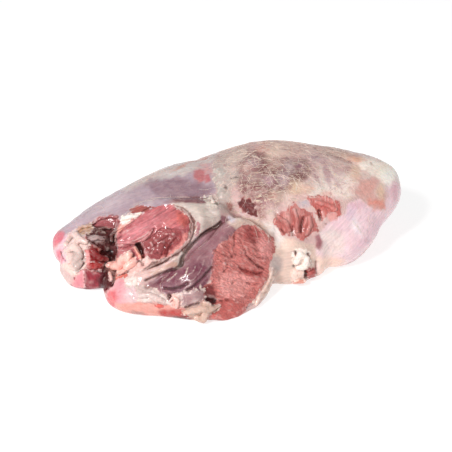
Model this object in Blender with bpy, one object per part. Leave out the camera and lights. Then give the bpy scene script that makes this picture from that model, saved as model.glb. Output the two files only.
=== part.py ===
"""Boneless veal shoulder: one piece of raw meat, as trimmed from the bone.

The whole piece is one solid. It is made of its muscles, each a rounded body laid along a gently
bent line. They are joined into one, and softened where the sheath of the meat bridges them. Two
cuts of the knife leave flat faces at the front, with the torn grain of the meat on them. The
seams between the muscles are pressed in, and the piece lies on a flat underside.

Metres, +Z up. X runs along the piece, and Y away from its cut front. The origin is at the middle
of the piece's box, on the surface that it lies on.
"""

import math
from dataclasses import dataclass

import bmesh
import bpy
import numpy as np
from mathutils import Vector, noise

MM = 0.001

# Length of the whole piece, which everything else follows in proportion
LENGTH = 390 * MM

# Sides and rings of a muscle, the grid that joins them, what is left at the end, steps of a seam
SIDES = 40
RINGS = 28
GRID = 2.5 * MM
SOFTEN_STEPS = 7
FINAL_TRIANGLES = 11000
SEAM_STEPS = 24

# How far the edge of the underside is drawn in, and from what height
TUCK = 3 * MM
TUCK_HEIGHT = 8 * MM

# Torn grain of the cut faces: how near the cut it is, how squarely it faces out, and its lumps
GRAIN_REACH = 3 * MM
GRAIN_FACING = 0.8
GRAIN_PITCH = 19 * MM
GRAIN_DEPTH = 3.2 * MM

NODE_NAME = "veal_shoulder"
LEAN_COLOR = (0.52, 0.25, 0.24, 1)
LEAN_ROUGHNESS = 0.42


@dataclass(frozen=True)
class Muscle:
    """A muscle along a bent line, with its half width and half height at even steps along it.

    A blunter one keeps its width for longer towards its ends.
    """

    name: str
    line: tuple
    half_widths: tuple
    half_heights: tuple
    bluntness: float = 3.0


@dataclass(frozen=True)
class Cut:
    """A knife cut: what lies beyond the plane is taken off the named muscles."""

    point: tuple
    normal: tuple
    muscles: tuple


@dataclass(frozen=True)
class Seam:
    """A line on the surface, pressed in by its depth, or raised where the depth is negative."""

    line: tuple
    half_width: float
    depth: float


# Places and sizes in millimetres
MUSCLES = (
    Muscle(
        "blade",
        ((-95, 28, 38), (-22, 33, 38), (52, 34, 38), (124, 38, 47), (195, 46, 64)),
        (44, 74, 90, 80, 54),
        (38, 58, 75, 58, 38),
    ),
    Muscle(
        "bed",
        ((-146, -25, 14), (-60, -40, 20), (15, -42, 24), (100, -5, 22)),
        (42, 56, 57, 44),
        (26, 36, 38, 30),
    ),
    Muscle(
        "shank",
        ((30, 34, 42), (-45, 28, 44), (-120, 7, 30), (-193, -17, 10)),
        (78, 57, 44, 36),
        (60, 49, 37, 26),
    ),
    Muscle(
        "right_round",
        ((82, -27, 20), (108, -12, 27), (132, 9, 40), (163, 42, 57)),
        (40, 44, 43, 34),
        (32, 36, 37, 30),
    ),
    Muscle(
        "back_ridge",
        ((50, 80, 44), (105, 80, 46), (165, 70, 54)),
        (40, 44, 36),
        (40, 44, 36),
    ),
    Muscle(
        "roll",
        ((6, -40, 66), (-37, -54, 58), (-79, -62, 54), (-120, -66, 46)),
        (30, 42, 44, 32),
        (24, 38, 42, 32),
    ),
    Muscle(
        "front_strip",
        ((16, -60, 32), (-30, -86, 18), (-78, -87, 12), (-130, -92, 8)),
        (44, 54, 46, 42),
        (44, 46, 34, 30),
    ),
    Muscle(
        "front_round",
        ((28, -50, 62), (10, -76, 32), (-21, -129, 0)),
        (40, 42, 43),
        (42, 46, 44),
    ),
    Muscle(
        "fat_nub",
        ((60, -14, 56), (71, -36, 28), (71, -56, -8)),
        (34, 42, 42),
        (34, 32, 30),
    ),
    Muscle(
        "hock",
        ((-152, -58, -12), (-150, -51, 18), (-143, -38, 52)),
        (29, 31, 18),
        (28, 30, 20),
    ),
    Muscle(
        "shank_tip",
        ((-150, -4, 34), (-170, -11, 14), (-173, -12, -6)),
        (24, 26, 22),
        (24, 26, 22),
    ),
)
CUTS = (
    Cut((-72, -73, 66), (0.05, -0.775, 0.63), ("roll",)),
    Cut((18, -91, 46), (0.47, -0.71, 0.52), ("front_round", "front_strip")),
)
SEAMS = (
    # Between the rolled muscle and the strip in front of it
    Seam(((0, -58, 80), (-22, -72, 68), (-44, -98, 59), (-63, -110, 45), (-86, -115, 30)), 6, 9),
    # Raised lip round the cut of the rolled muscle, and the groove inside it
    Seam(((-56, -53, 90), (-32, -56, 84), (-26, -66, 72), (-36, -88, 63), (-60, -103, 51)), 6, -4),
    Seam(((-49, -56, 86), (-38, -66, 70), (-46, -88, 59), (-70, -96, 48)), 5, 4),
    # Hollow between the hock and the rolled muscle, and the fold across the hock
    Seam(((-128, -28, 54), (-123, -50, 56), (-122, -72, 46)), 9, 11),
    Seam(((-172, -54, 30), (-153, -75, 29), (-130, -70, 31)), 4, 4),
    # Both sides of the fat at the foot of the blade
    Seam(((51, -64, 52), (52, -74, 28), (52, -74, 4)), 6, 4),
    Seam(((86, -54, 46), (92, -62, 26), (94, -60, 4)), 5, 4),
    # Along the back
    Seam(((104, 52, 103), (121, 44, 102), (136, 34, 99), (150, 20, 92)), 9, 2),
)


def along(values, t):
    """The smooth value at t, from 0 to 1, through evenly spaced stations."""
    last = len(values) - 1
    here = t * last
    i = min(int(here), last - 1)
    f = here - i
    a, b = values[i], values[i + 1]
    before = values[i - 1] if i else a * 2 - b
    after = values[i + 2] if i + 2 <= last else b * 2 - a
    return (
        b * (f * (1 + f * (4 - 3 * f)))
        - after * (f * f * (1 - f))
        + a * (2 + f * f * (3 * f - 5))
        - before * (f * (1 - f) * (1 - f))
    ) * 0.5


def muscle_body(muscle):
    """A closed body: a ball stretched along the muscle's line, to its sections."""
    mesh = bmesh.new()
    bmesh.ops.create_uvsphere(mesh, u_segments=SIDES, v_segments=RINGS, radius=1)
    points = [Vector(point) * MM for point in muscle.line]
    run = (points[-1] - points[0]).normalized()
    side = run.cross(Vector((0, 0, 1))).normalized()
    up = side.cross(run)
    for vert in mesh.verts:
        x, y, z = vert.co
        t = min(max((z + 1) / 2, 0), 1)
        swell = (1 - min(abs(z), 1) ** muscle.bluntness) ** (1 / muscle.bluntness)
        turn = math.atan2(y, x)
        width = along(muscle.half_widths, t) * MM * swell * math.cos(turn)
        height = along(muscle.half_heights, t) * MM * swell * math.sin(turn)
        vert.co = along(points, t) + side * width + up * height
    bmesh.ops.recalc_face_normals(mesh, faces=mesh.faces)
    for cut in CUTS:
        if muscle.name in cut.muscles:
            slice_off(mesh, Vector(cut.point) * MM, Vector(cut.normal))
    return mesh


def slice_off(mesh, point, normal):
    """Takes off what lies beyond the plane, and closes the flat face that it leaves."""
    found = bmesh.ops.bisect_plane(
        mesh,
        geom=mesh.verts[:] + mesh.edges[:] + mesh.faces[:],
        plane_co=point,
        plane_no=normal,
        clear_outer=True,
    )
    rim = [item for item in found["geom_cut"] if isinstance(item, bmesh.types.BMEdge)]
    bmesh.ops.triangle_fill(mesh, use_beauty=True, edges=rim)
    bmesh.ops.recalc_face_normals(mesh, faces=mesh.faces)


def put(name, mesh, collection):
    """The mesh as an object of that name."""
    data = bpy.data.meshes.new(name)
    mesh.to_mesh(data)
    mesh.free()
    obj = bpy.data.objects.new(name, data)
    collection.objects.link(obj)
    return obj


def apply_modifiers(obj):
    """Makes the object's modifiers part of its mesh."""
    bpy.context.view_layer.update()
    graph = bpy.context.evaluated_depsgraph_get()
    shaped = bpy.data.meshes.new_from_object(obj.evaluated_get(graph))
    obj.modifiers.clear()
    obj.data = shaped


def join_muscles():
    """One body of all the muscles, softened where they meet."""
    scene = bpy.context.scene.collection
    others = bpy.data.collections.new("muscles")
    scene.children.link(others)
    meat = put(NODE_NAME, muscle_body(MUSCLES[0]), scene)
    for muscle in MUSCLES[1:]:
        put(muscle.name, muscle_body(muscle), others)
    union = meat.modifiers.new("join", "BOOLEAN")
    union.operation = "UNION"
    union.operand_type = "COLLECTION"
    union.collection = others
    union.solver = "EXACT"
    even = meat.modifiers.new("even", "REMESH")
    even.mode = "VOXEL"
    even.voxel_size = GRID
    soften = meat.modifiers.new("soften", "SMOOTH")
    soften.iterations = SOFTEN_STEPS
    apply_modifiers(meat)
    for obj in list(others.objects):
        bpy.data.objects.remove(obj)
    bpy.data.collections.remove(others)
    return meat


def read_points(mesh, attribute):
    """Places or normals of the mesh's points, as an array."""
    values = np.empty(len(mesh.vertices) * 3, np.float32)
    mesh.vertices.foreach_get(attribute, values)
    return values.reshape(-1, 3).astype(float)


def distance_to_line(points, line):
    """How far each point is from a line made of short straight steps."""
    nearest = np.full(len(points), np.inf)
    for start, end in zip(line, line[1:]):
        step = end - start
        share = np.clip((points - start) @ step / (step @ step), 0, 1)
        away = np.linalg.norm(points - start - share[:, None] * step, axis=1)
        nearest = np.minimum(nearest, away)
    return nearest


def press_seams(meat):
    """Presses in the seams and raises the folds, each in the one direction its surface faces."""
    points = read_points(meat.data, "co")
    normals = read_points(meat.data, "normal")
    for seam in SEAMS:
        stations = np.array(seam.line) * MM
        line = [along(stations, step / SEAM_STEPS) for step in range(SEAM_STEPS + 1)]
        away = distance_to_line(points, line)
        share = np.exp(-((away / (seam.half_width * MM)) ** 2))
        outward = share @ normals
        outward /= np.linalg.norm(outward)
        points -= share[:, None] * outward * seam.depth * MM
    meat.data.vertices.foreach_set("co", points.ravel())


def tear_cuts(meat):
    """Gives the cut faces the lumps and furrows of torn grain."""
    for cut in CUTS:
        point = Vector(cut.point) * MM
        normal = Vector(cut.normal).normalized()
        for vert in meat.data.vertices:
            away = abs((vert.co - point).dot(normal))
            if away < GRAIN_REACH and vert.normal.dot(normal) > GRAIN_FACING:
                lump = noise.noise(vert.co / GRAIN_PITCH) * GRAIN_DEPTH
                vert.co += normal * lump * (1 - away / GRAIN_REACH)


def tuck_under(meat):
    """Draws the sides in where they come down to the underside."""
    points = read_points(meat.data, "co")
    normals = read_points(meat.data, "normal")
    share = np.clip(1 - points[:, 2] / TUCK_HEIGHT, 0, 1) ** 2
    normals[:, 2] = 0
    points -= share[:, None] * normals * TUCK
    meat.data.vertices.foreach_set("co", points.ravel())


def thin_out(meat):
    """Leaves few triangles where the surface is plain, and more where it bends."""
    thin = meat.modifiers.new("thin", "DECIMATE")
    thin.ratio = FINAL_TRIANGLES / (2 * len(meat.data.polygons))
    apply_modifiers(meat)


def set_down(meat):
    """Cuts the underside flat, and gives the piece its length with its box round the origin."""
    mesh = bmesh.new()
    mesh.from_mesh(meat.data)
    slice_off(mesh, Vector((0, 0, 0)), Vector((0, 0, -1)))
    places = np.array([vert.co for vert in mesh.verts])
    low, high = places.min(axis=0), places.max(axis=0)
    middle = Vector(((low[0] + high[0]) / 2, (low[1] + high[1]) / 2, 0))
    scale = LENGTH / (high[0] - low[0])
    for vert in mesh.verts:
        vert.co = (vert.co - middle) * scale
    mesh.to_mesh(meat.data)
    mesh.free()


def dress(meat):
    """Gives the piece the colour and the wet sheen of raw veal."""
    lean = bpy.data.materials.new("raw_veal")
    lean.use_nodes = True
    shader = lean.node_tree.nodes["Principled BSDF"]
    shader.inputs["Base Color"].default_value = LEAN_COLOR
    shader.inputs["Roughness"].default_value = LEAN_ROUGHNESS
    shader.inputs["Metallic"].default_value = 0
    meat.data.materials.clear()
    meat.data.materials.append(lean)
    meat.data.shade_smooth()


def main():
    """Builds the piece."""
    for obj in list(bpy.data.objects):
        bpy.data.objects.remove(obj)
    meat = join_muscles()
    press_seams(meat)
    tear_cuts(meat)
    tuck_under(meat)
    thin_out(meat)
    set_down(meat)
    dress(meat)


if __name__ == "__main__":
    main()
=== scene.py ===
"""A boneless veal shoulder, dressed: the sheath, lean and fat of one piece of raw meat.

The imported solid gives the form. Its surface is taken up again as a finer skin, and the creases,
swellings and fibres that the photograph shows are worked into it. Lumps and shreds that stand
proud are grown from runs of balls, and fine threads lie over the sheath. What each area is made
of is laid out by its outline in the photograph's pixels, as seen by the camera, and the sides
that the photograph doesn't show get the same tissues in a pattern of their own. The finishes
then grow the fibres, the streaks and the wet gloss from that.

Metres, +Z up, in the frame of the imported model. Pixels count from the picture's upper left.
"""

import logging
import math
import random
from dataclasses import dataclass
from enum import Enum

import bmesh
import bpy
import numpy as np
from mathutils import Matrix, Quaternion, Vector, noise
from mathutils.bvhtree import BVHTree


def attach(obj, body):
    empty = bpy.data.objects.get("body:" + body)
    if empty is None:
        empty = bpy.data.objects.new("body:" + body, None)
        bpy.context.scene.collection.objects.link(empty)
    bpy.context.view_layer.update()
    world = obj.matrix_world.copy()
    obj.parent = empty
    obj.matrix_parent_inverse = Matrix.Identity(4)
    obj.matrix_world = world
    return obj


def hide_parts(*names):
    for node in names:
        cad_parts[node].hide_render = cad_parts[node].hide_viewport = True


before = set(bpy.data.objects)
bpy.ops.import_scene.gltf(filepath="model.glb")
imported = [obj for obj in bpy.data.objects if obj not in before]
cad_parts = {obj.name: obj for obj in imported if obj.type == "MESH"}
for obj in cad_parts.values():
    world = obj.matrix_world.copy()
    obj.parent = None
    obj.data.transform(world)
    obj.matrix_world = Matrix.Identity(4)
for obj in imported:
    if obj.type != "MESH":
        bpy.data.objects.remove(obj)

MM = 0.001
NODE = "veal_shoulder"
NOISE_SEED = 5

Socket = bpy.types.NodeSocket
Pixel = tuple[float, float]
Line = tuple[Pixel, ...]
Colour = tuple[int, int, int]
Span = tuple[float, float]
Triple = tuple[float, float, float]

UNIT: Span = (0.0, 1.0)


class Tissue(Enum):
    """What a patch of the surface is made of."""

    SHEATH = "sheath"
    LEAN = "lean"
    FAT = "fat"


class Lay(Enum):
    """How the fibres of an area lie."""

    STRAIGHT = "straight"
    ROUND = "round"


@dataclass(frozen=True)
class Patch:
    """An area of one tissue.

    Attributes:
        name: what it is.
        tissue: what it is made of.
        colour: its colour on the screen.
        soft: how wide its border is, in pixels.
        ragged: how far its border wanders.
        outline: its outline in the photograph.
        lift: how far it swells, in mm.
        round_off: how far in from its border the swelling grows, in pixels.
        torn: how torn its lean is, from 0 to 1.
    """

    name: str
    tissue: Tissue
    colour: Colour
    soft: float
    ragged: float
    outline: Line
    lift: float = 0.0
    round_off: float = 5.0
    torn: float = 0.1


@dataclass(frozen=True)
class Tint:
    """A soft oval of colour on whatever tissue is there.

    Attributes:
        at: the pixel in its middle.
        reach: half its length and half its width, in pixels.
        turn: how far its length is turned down to the right, in degrees.
        colour: its colour on the screen.
        strength: the share of that colour in its middle.
    """

    at: Pixel
    reach: Span
    turn: float
    colour: Colour
    strength: float


@dataclass(frozen=True)
class Stroke:
    """A crease pressed into the surface and darkened, mostly with painted shade and in places with the
    tissue's own dark red, or a pale thread on it.

    Attributes:
        width: half its width, in pixels.
        depth: how deep it is pressed in, in mm; negative on a thread, which is raised.
        strength: how strongly it is coloured, from 0 to 1; on a crease mostly with painted shade.
        line: the pixels that it runs through.
    """

    width: float
    depth: float
    strength: float
    line: Line


@dataclass(frozen=True)
class Grain:
    """An area in which the fibres run one way.

    Attributes:
        lay: whether they run along the line, or round its first end.
        line: two pixels.
        squeeze: what is left of the pattern's coordinate along them; a small one draws it out.
        outline: the area in the photograph.
    """

    lay: Lay
    line: tuple[Pixel, Pixel]
    squeeze: float
    outline: Line


@dataclass(frozen=True)
class Scrap:
    """A lump or shred that stands proud of the meat.

    Attributes:
        name: what it is.
        trail: the pixels that it runs through, each with its radius and its rise in mm.
    """

    name: str
    trail: tuple[tuple[float, float, float, float], ...]


@dataclass(frozen=True)
class Cloud:
    """Smooth noise in space.

    Attributes:
        pitch: size of its lumps, in metres.
        seed: shifts the pattern.
    """

    pitch: float
    seed: float

    def at(self, points: np.ndarray) -> np.ndarray:
        """The noise at places in metres, three values from about -1 to 1 for each."""
        shift = Vector((self.seed, -self.seed, self.seed * 2))
        return np.array([noise.noise_vector(Vector(point) / self.pitch + shift) for point in points.tolist()])


@dataclass(frozen=True)
class Relief:
    """Unevenness of one size.

    Attributes:
        cloud: its noise.
        base: how far it rises anywhere, in mm.
        fat: how much further on fat.
        lean: how much further on lean.
        torn: how much further on torn lean.
        fibrous: whether it follows the fibres.
        ridge: the height of the ridges that it is parted into, and how steep they are.
    """

    cloud: Cloud
    base: float
    fat: float
    lean: float
    torn: float = 0.0
    fibrous: bool = False
    ridge: Span | None = None


@dataclass(frozen=True)
class PhotoView:
    """The camera of the photograph, and where a point falls in its picture.

    Attributes:
        target: the place that it looks at, in metres.
        elevation: how far it looks down, in degrees.
        distance: how far it stands from the target, in metres.
        lens: its focal length, in mm.
        sensor: the width of its sensor, in mm.
        picture: the width and height of its picture, in pixels.
    """

    target: Triple = (-0.00207, 0.00764, 0.03506)
    elevation: float = 30.0
    distance: float = 1.184
    lens: float = 85.0
    sensor: float = 36.0
    picture: float = 452.0

    def back(self) -> Vector:
        """The direction from the object to the camera."""
        rise = math.radians(self.elevation)
        return Vector((0, -math.cos(rise), math.sin(rise)))

    def place(self) -> Vector:
        """Where the camera stands."""
        return Vector(self.target) + self.back() * self.distance

    def focal(self) -> float:
        """The focal length in pixels."""
        return self.lens / self.sensor * self.picture

    def project(self, points: np.ndarray) -> np.ndarray:
        """Where points fall in the picture.

        Args:
            points: places in metres, one a row.

        Returns:
            Their pixels, one a row.
        """
        away = points - np.array(self.place())
        back = np.array(self.back())
        up = np.array((0, back[2], -back[1]))
        depth = -(away @ back)
        across = away[:, 0] / depth
        rise = (away @ up) / depth
        middle = self.picture / 2
        return np.stack((middle + self.focal() * across, middle - self.focal() * rise), 1)

    def ray(self, pixel: Pixel) -> Vector:
        """Where the camera sees a pixel.

        Args:
            pixel: the pixel.

        Returns:
            The direction from the camera.
        """
        back = self.back()
        up = Vector((0, back.z, -back.y))
        across = (pixel[0] - self.picture / 2) / self.focal()
        rise = (self.picture / 2 - pixel[1]) / self.focal()
        return (Vector((1, 0, 0)) * across + up * rise - back).normalized()

    def camera(self) -> None:
        """Puts the camera in the scene."""
        data = bpy.data.cameras.new("camera")
        data.lens = self.lens
        data.sensor_width = self.sensor
        camera = bpy.data.objects.new("camera", data)
        camera.location = self.place()
        camera.rotation_mode = "QUATERNION"
        camera.rotation_quaternion = (-self.back()).to_track_quat("-Z", "Y")
        bpy.context.scene.collection.objects.link(camera)
        bpy.context.scene.camera = camera


SHEATH, LEAN, FAT = Tissue.SHEATH, Tissue.LEAN, Tissue.FAT

# Areas, from the widest to the smallest: a later one lies over an earlier one; those so marked are painted
# shade
PATCHES = (
    Patch("shank", SHEATH, (170, 148, 157), 6, 2, ((40, 240), (85, 200), (120, 180), (165, 160), (214, 146),
        (220, 170), (216, 190), (206, 206), (195, 208), (170, 204), (150, 211), (118, 221), (98, 218),
        (80, 234), (60, 244))),
    Patch("shank contour", SHEATH, (198, 180, 175), 5, 4, ((120, 184), (150, 170), (180, 162), (214, 150),
        (216, 160), (200, 168), (180, 176), (150, 182), (125, 194))),
    # painted shade over the lower part of the shank
    Patch("shank painted shade", SHEATH, (142, 114, 124), 7, 5, ((142, 184), (160, 178), (185, 180), (210, 186),
        (212, 194), (206, 200), (180, 202), (160, 196))),
    Patch("shank foot", SHEATH, (122, 74, 80), 4, 3, ((164, 202), (182, 197), (200, 198), (207, 202),
        (206, 207), (190, 206))),
    Patch("front strip", SHEATH, (140, 92, 100), 3, 2, ((222, 216), (246, 224), (236, 232), (220, 246),
        (212, 262), (210, 276), (203, 292), (190, 296), (160, 292), (146, 284), (165, 272), (184, 255),
        (204, 234))),
    Patch("strip low", SHEATH, (116, 60, 76), 7, 4, ((204, 262), (212, 270), (204, 288), (186, 294),
        (164, 292), (154, 280), (168, 272), (186, 264))),
    Patch("right lobe", SHEATH, (236, 203, 209), 4, 2, ((318, 280), (314, 262), (318, 245), (322, 232),
        (330, 222), (345, 214), (349, 203), (360, 199), (370, 207), (384, 210), (388, 196), (386, 180),
        (396, 172), (412, 180), (400, 215), (370, 250), (340, 275))),
    Patch("lobe milk", SHEATH, (228, 206, 202), 8, 3, ((320, 234), (332, 226), (344, 234), (343, 254),
        (326, 258), (318, 248))),
    Patch("lobe peach", SHEATH, (242, 206, 191), 8, 3, ((314, 256), (332, 256), (346, 262), (336, 276),
        (318, 280))),
    Patch("nub", SHEATH, (214, 186, 173), 4, 2, ((266, 236), (278, 236), (300, 240), (316, 246), (318, 262),
        (312, 270), (306, 274), (304, 288), (272, 296), (262, 304), (268, 284), (272, 262))),
    Patch("nub shade", SHEATH, (184, 164, 158), 6, 2, ((271, 256), (282, 258), (281, 272), (272, 276))),
    Patch("cream collar", SHEATH, (204, 176, 162), 3, 2, ((226, 222), (236, 217), (252, 219), (262, 222),
        (272, 226), (280, 236), (276, 243), (268, 234), (258, 227), (248, 223), (236, 229))),
    Patch("white collar", SHEATH, (226, 212, 206), 4, 2, ((262, 221), (272, 222), (280, 232), (286, 240),
        (278, 248), (274, 238), (266, 230))),
    Patch("outer membrane", SHEATH, (192, 176, 168), 2, 1.5, ((170, 204), (182, 202), (198, 204),
        (206, 203), (220, 210), (221, 220), (216, 226), (204, 234), (194, 243), (187, 251), (183, 260),
        (178, 268), (172, 269), (173, 262), (183, 251), (190, 243), (194, 233), (194, 222), (184, 210))),
    Patch("grey mottle", SHEATH, (184, 164, 157), 7, 5, ((214, 158), (226, 150), (244, 152), (244, 166),
        (240, 180), (230, 190), (236, 206), (226, 214), (212, 206), (216, 190), (212, 174))),
    Patch("dome middle", SHEATH, (124, 82, 79), 14, 6, ((240, 150), (262, 150), (284, 158), (304, 158),
        (312, 168), (304, 182), (288, 196), (270, 202), (246, 196), (238, 182), (240, 164))),
    Patch("right end", SHEATH, (254, 238, 226), 12, 6, ((352, 158), (376, 158), (396, 170), (406, 184),
        (394, 184), (386, 182), (376, 176), (360, 172))),
    Patch("white foot", SHEATH, (240, 220, 212), 10, 6, ((334, 176), (350, 172), (356, 184), (352, 196),
        (338, 198), (322, 196), (310, 194), (312, 184))),
    # Lean where the sheath is trimmed off
    Patch("bundles", LEAN, (184, 104, 98), 1.5, 4, ((273, 219), (276, 213), (283, 211), (290, 206),
        (297, 203), (303, 208), (309, 212), (314, 216), (318, 225), (318, 230), (313, 231), (310, 235),
        (305, 239), (300, 237), (296, 235), (293, 231), (291, 235), (286, 235), (283, 236), (278, 230),
        (274, 223))),
    Patch("trimmed", LEAN, (197, 108, 101), 1.5, 4, ((306, 197), (313, 196), (321, 196), (330, 198),
        (338, 201), (342, 206), (342, 215), (334, 218), (327, 216), (322, 220), (318, 218), (316, 211),
        (311, 203))),
    Patch("trimmed foot", SHEATH, (226, 158, 152), 3, 3, ((325, 214), (340, 213), (338, 220), (330, 222))),
    Patch("maroon", LEAN, (110, 50, 50), 2.5, 4, ((237, 202), (242, 199), (250, 199), (256, 203),
        (260, 210), (258, 216), (250, 215), (243, 211))),
    Patch("maroon side", SHEATH, (144, 90, 88), 5, 4, ((256, 203), (264, 204), (268, 210), (266, 217),
        (258, 217))),
    Patch("maroon above", SHEATH, (136, 90, 88), 7, 5, ((238, 190), (248, 184), (262, 188), (266, 198),
        (254, 200), (242, 198))),
    Patch("small brown", SHEATH, (148, 92, 84), 3, 2, ((227, 203), (231, 201), (234, 205), (232, 210),
        (228, 209))),
    Patch("spot", SHEATH, (186, 112, 115), 4, 2, ((194, 171), (199, 168), (205, 170), (205, 180),
        (199, 183), (194, 179))),
    Patch("spot side", SHEATH, (184, 100, 106), 3, 2, ((204, 175), (209, 174), (211, 180), (206, 183))),
    Patch("spot pink", SHEATH, (202, 152, 150), 7, 5, ((202, 164), (212, 164), (213, 172), (206, 174))),
    Patch("orange", SHEATH, (216, 164, 154), 13, 7, ((357, 177), (375, 176), (380, 184), (378, 191),
        (376, 199), (366, 199), (356, 196), (353, 190))),
    Patch("orange foot", SHEATH, (224, 146, 132), 7, 5, ((368, 200), (384, 200), (384, 209), (373, 208))),
    # The rolled muscle
    Patch("roll", LEAN, (186, 102, 106), 2, 1.5, ((109, 240), (110, 233), (119, 226), (134, 219),
        (147, 211), (158, 205), (169, 204), (181, 208), (190, 217), (193, 232), (188, 244), (178, 253),
        (165, 260), (152, 266), (138, 272), (124, 279), (110, 281), (106, 266), (118, 254))),
    Patch("roll red", LEAN, (192, 98, 92), 4, 2, ((176, 210), (186, 213), (190, 222), (184, 228),
        (176, 222))),
    Patch("roll deep", LEAN, (160, 78, 80), 3, 3, ((143, 244), (152, 235), (161, 228), (175, 229),
        (185, 233), (186, 240), (179, 249), (170, 257), (158, 260), (149, 256), (145, 251)), torn=0.4),
    Patch("roll band", LEAN, (226, 144, 138), 2, 2, ((184, 233), (189, 232), (187, 242), (178, 250),
        (167, 258), (159, 262), (158, 259), (170, 252), (180, 243))),
    # painted shade: the near-black inside of the hole in the roll
    Patch("roll hollow", LEAN, (66, 22, 18), 1.5, 1, ((135, 243), (141, 242), (143, 248), (144, 254),
        (140, 254), (137, 249))),
    Patch("roll lip", LEAN, (228, 150, 138), 1.5, 1.5, ((108, 238), (111, 233), (119, 225), (128, 221),
        (134, 220), (126, 226), (118, 233), (114, 240))),
    Patch("pale tissue", FAT, (232, 188, 180), 2, 3, ((140, 260), (146, 256), (156, 261), (164, 261),
        (156, 267), (148, 271), (136, 274), (130, 280), (124, 278), (130, 270))),
    Patch("red streaks", LEAN, (210, 96, 80), 1.5, 2, ((108, 272), (118, 273), (128, 270), (127, 277),
        (114, 280))),
    Patch("granular", LEAN, (166, 84, 78), 1.5, 2.5, ((127, 210), (136, 206), (150, 206), (156, 208),
        (146, 213), (134, 215)), torn=0.6),
    Patch("bright fat", FAT, (240, 220, 212), 1.5, 2, ((117, 221), (121, 215), (132, 214), (141, 214),
        (134, 219), (126, 224), (121, 224))),
    Patch("peach nub", FAT, (240, 178, 166), 1.5, 1.5, ((105, 266), (110, 261), (119, 258), (124, 253),
        (130, 251), (135, 256), (138, 263), (132, 269), (126, 272), (117, 274), (108, 273))),
    Patch("small nub", FAT, (238, 190, 182), 1.5, 1, ((107, 274), (113, 275), (114, 282), (109, 284))),
    Patch("strand", LEAN, (236, 152, 136), 1, 0.5, ((133, 247), (136, 246), (143, 256), (144, 260),
        (140, 260))),
    Patch("rim", FAT, (138, 100, 94), 1.2, 1, ((172, 204), (183, 207), (191, 213), (196, 221), (195, 233),
        (191, 244), (184, 252), (171, 260), (153, 267), (140, 272), (152, 262), (169, 256), (181, 248),
        (188, 240), (191, 230), (190, 219), (182, 211))),
    Patch("rim groove", LEAN, (170, 114, 120), 1, 1.5, ((195, 221), (199, 222), (200, 230), (197, 238),
        (194, 238), (196, 230))),
    Patch("tan fold", SHEATH, (196, 156, 142), 1.5, 1.5, ((148, 273), (160, 268), (172, 262), (177, 262),
        (176, 267), (166, 269), (154, 275))),
    # The big cut
    Patch("big cut", LEAN, (203, 118, 112), 1.5, 2, ((236, 230), (242, 226), (251, 224), (257, 226),
        (263, 231), (272, 237), (276, 242), (276, 249), (273, 256), (271, 263), (271, 270), (268, 279),
        (265, 285), (261, 291), (255, 299), (250, 305), (244, 312), (234, 318), (219, 323), (207, 324),
        (204, 312), (203, 298), (204, 288), (209, 283), (212, 272), (212, 260), (213, 250), (218, 245),
        (227, 239)), torn=0.6),
    Patch("cut glow", LEAN, (228, 152, 146), 8, 4, ((220, 274), (236, 272), (250, 276), (252, 288),
        (240, 297), (224, 296), (216, 286)), torn=0.5),
    Patch("cut top", LEAN, (164, 78, 75), 6, 3, ((246, 226), (256, 228), (262, 236), (254, 244),
        (244, 240)), torn=0.5),
    Patch("cut right", LEAN, (224, 142, 138), 5, 2, ((262, 236), (274, 242), (273, 256), (264, 260),
        (258, 248)), torn=0.6),
    Patch("cut band", LEAN, (178, 80, 76), 4, 3, ((240, 267), (252, 270), (264, 271), (262, 277),
        (250, 276), (240, 272)), torn=0.6),
    Patch("cut foot", LEAN, (190, 98, 92), 4, 2, ((212, 303), (226, 300), (246, 303), (240, 316),
        (219, 324), (207, 324)), torn=0.3),
    Patch("cut deep", LEAN, (122, 52, 52), 4, 2, ((204, 286), (212, 284), (216, 292), (216, 304),
        (207, 302), (202, 294))),
    # painted shade: the near-black inside of the hole at the foot of the cut
    Patch("cut hole", LEAN, (52, 16, 18), 1.2, 1, ((207, 298), (212, 297), (217, 299), (216, 303),
        (210, 303))),
    Patch("cut rim", FAT, (220, 188, 174), 1.5, 2.5, ((270, 268), (275, 270), (274, 284), (268, 294),
        (260, 302), (256, 306), (253, 302), (260, 292), (266, 283), (269, 276)), lift=0.8, round_off=3),
    # Along the front
    Patch("front end", SHEATH, (222, 152, 158), 7, 2, ((108, 284), (116, 279), (128, 277), (138, 284),
        (138, 298), (128, 304), (114, 308), (106, 304))),
    Patch("front end red", SHEATH, (208, 98, 104), 5, 2, ((107, 292), (115, 290), (118, 298), (114, 307),
        (106, 306))),
    Patch("front specks", SHEATH, (210, 178, 180), 6, 4, ((124, 285), (136, 282), (142, 290), (140, 302),
        (130, 305), (124, 298))),
    Patch("cream patch", FAT, (228, 206, 198), 5, 3, ((122, 277), (134, 275), (140, 280), (136, 288),
        (126, 288))),
    Patch("front foot", SHEATH, (218, 150, 138), 4, 3, ((116, 302), (130, 303), (150, 303), (166, 305),
        (182, 308), (196, 314), (196, 324), (150, 322), (118, 316))),
    Patch("foot red", SHEATH, (178, 62, 58), 4, 2, ((158, 311), (168, 309), (182, 309), (190, 314),
        (190, 320), (164, 318))),
    Patch("foot oval", LEAN, (214, 92, 82), 1, 1, ((154, 303), (160, 303), (164, 306), (160, 308),
        (155, 307))),
    Patch("white fat", FAT, (208, 182, 176), 2, 4, ((136, 286), (144, 283), (152, 288), (160, 293),
        (170, 294), (180, 292), (200, 287), (206, 290), (204, 298), (196, 304), (184, 308), (172, 306),
        (160, 303), (146, 303), (136, 300)), lift=1.2, round_off=4),
    Patch("streaked fold", SHEATH, (158, 120, 122), 3, 3, ((184, 294), (204, 288), (206, 298), (199, 304),
        (186, 308), (180, 306))),
    Patch("torn mouth", LEAN, (130, 44, 40), 1, 1, ((168, 294), (172, 295), (172, 300), (168, 300))),
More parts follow.
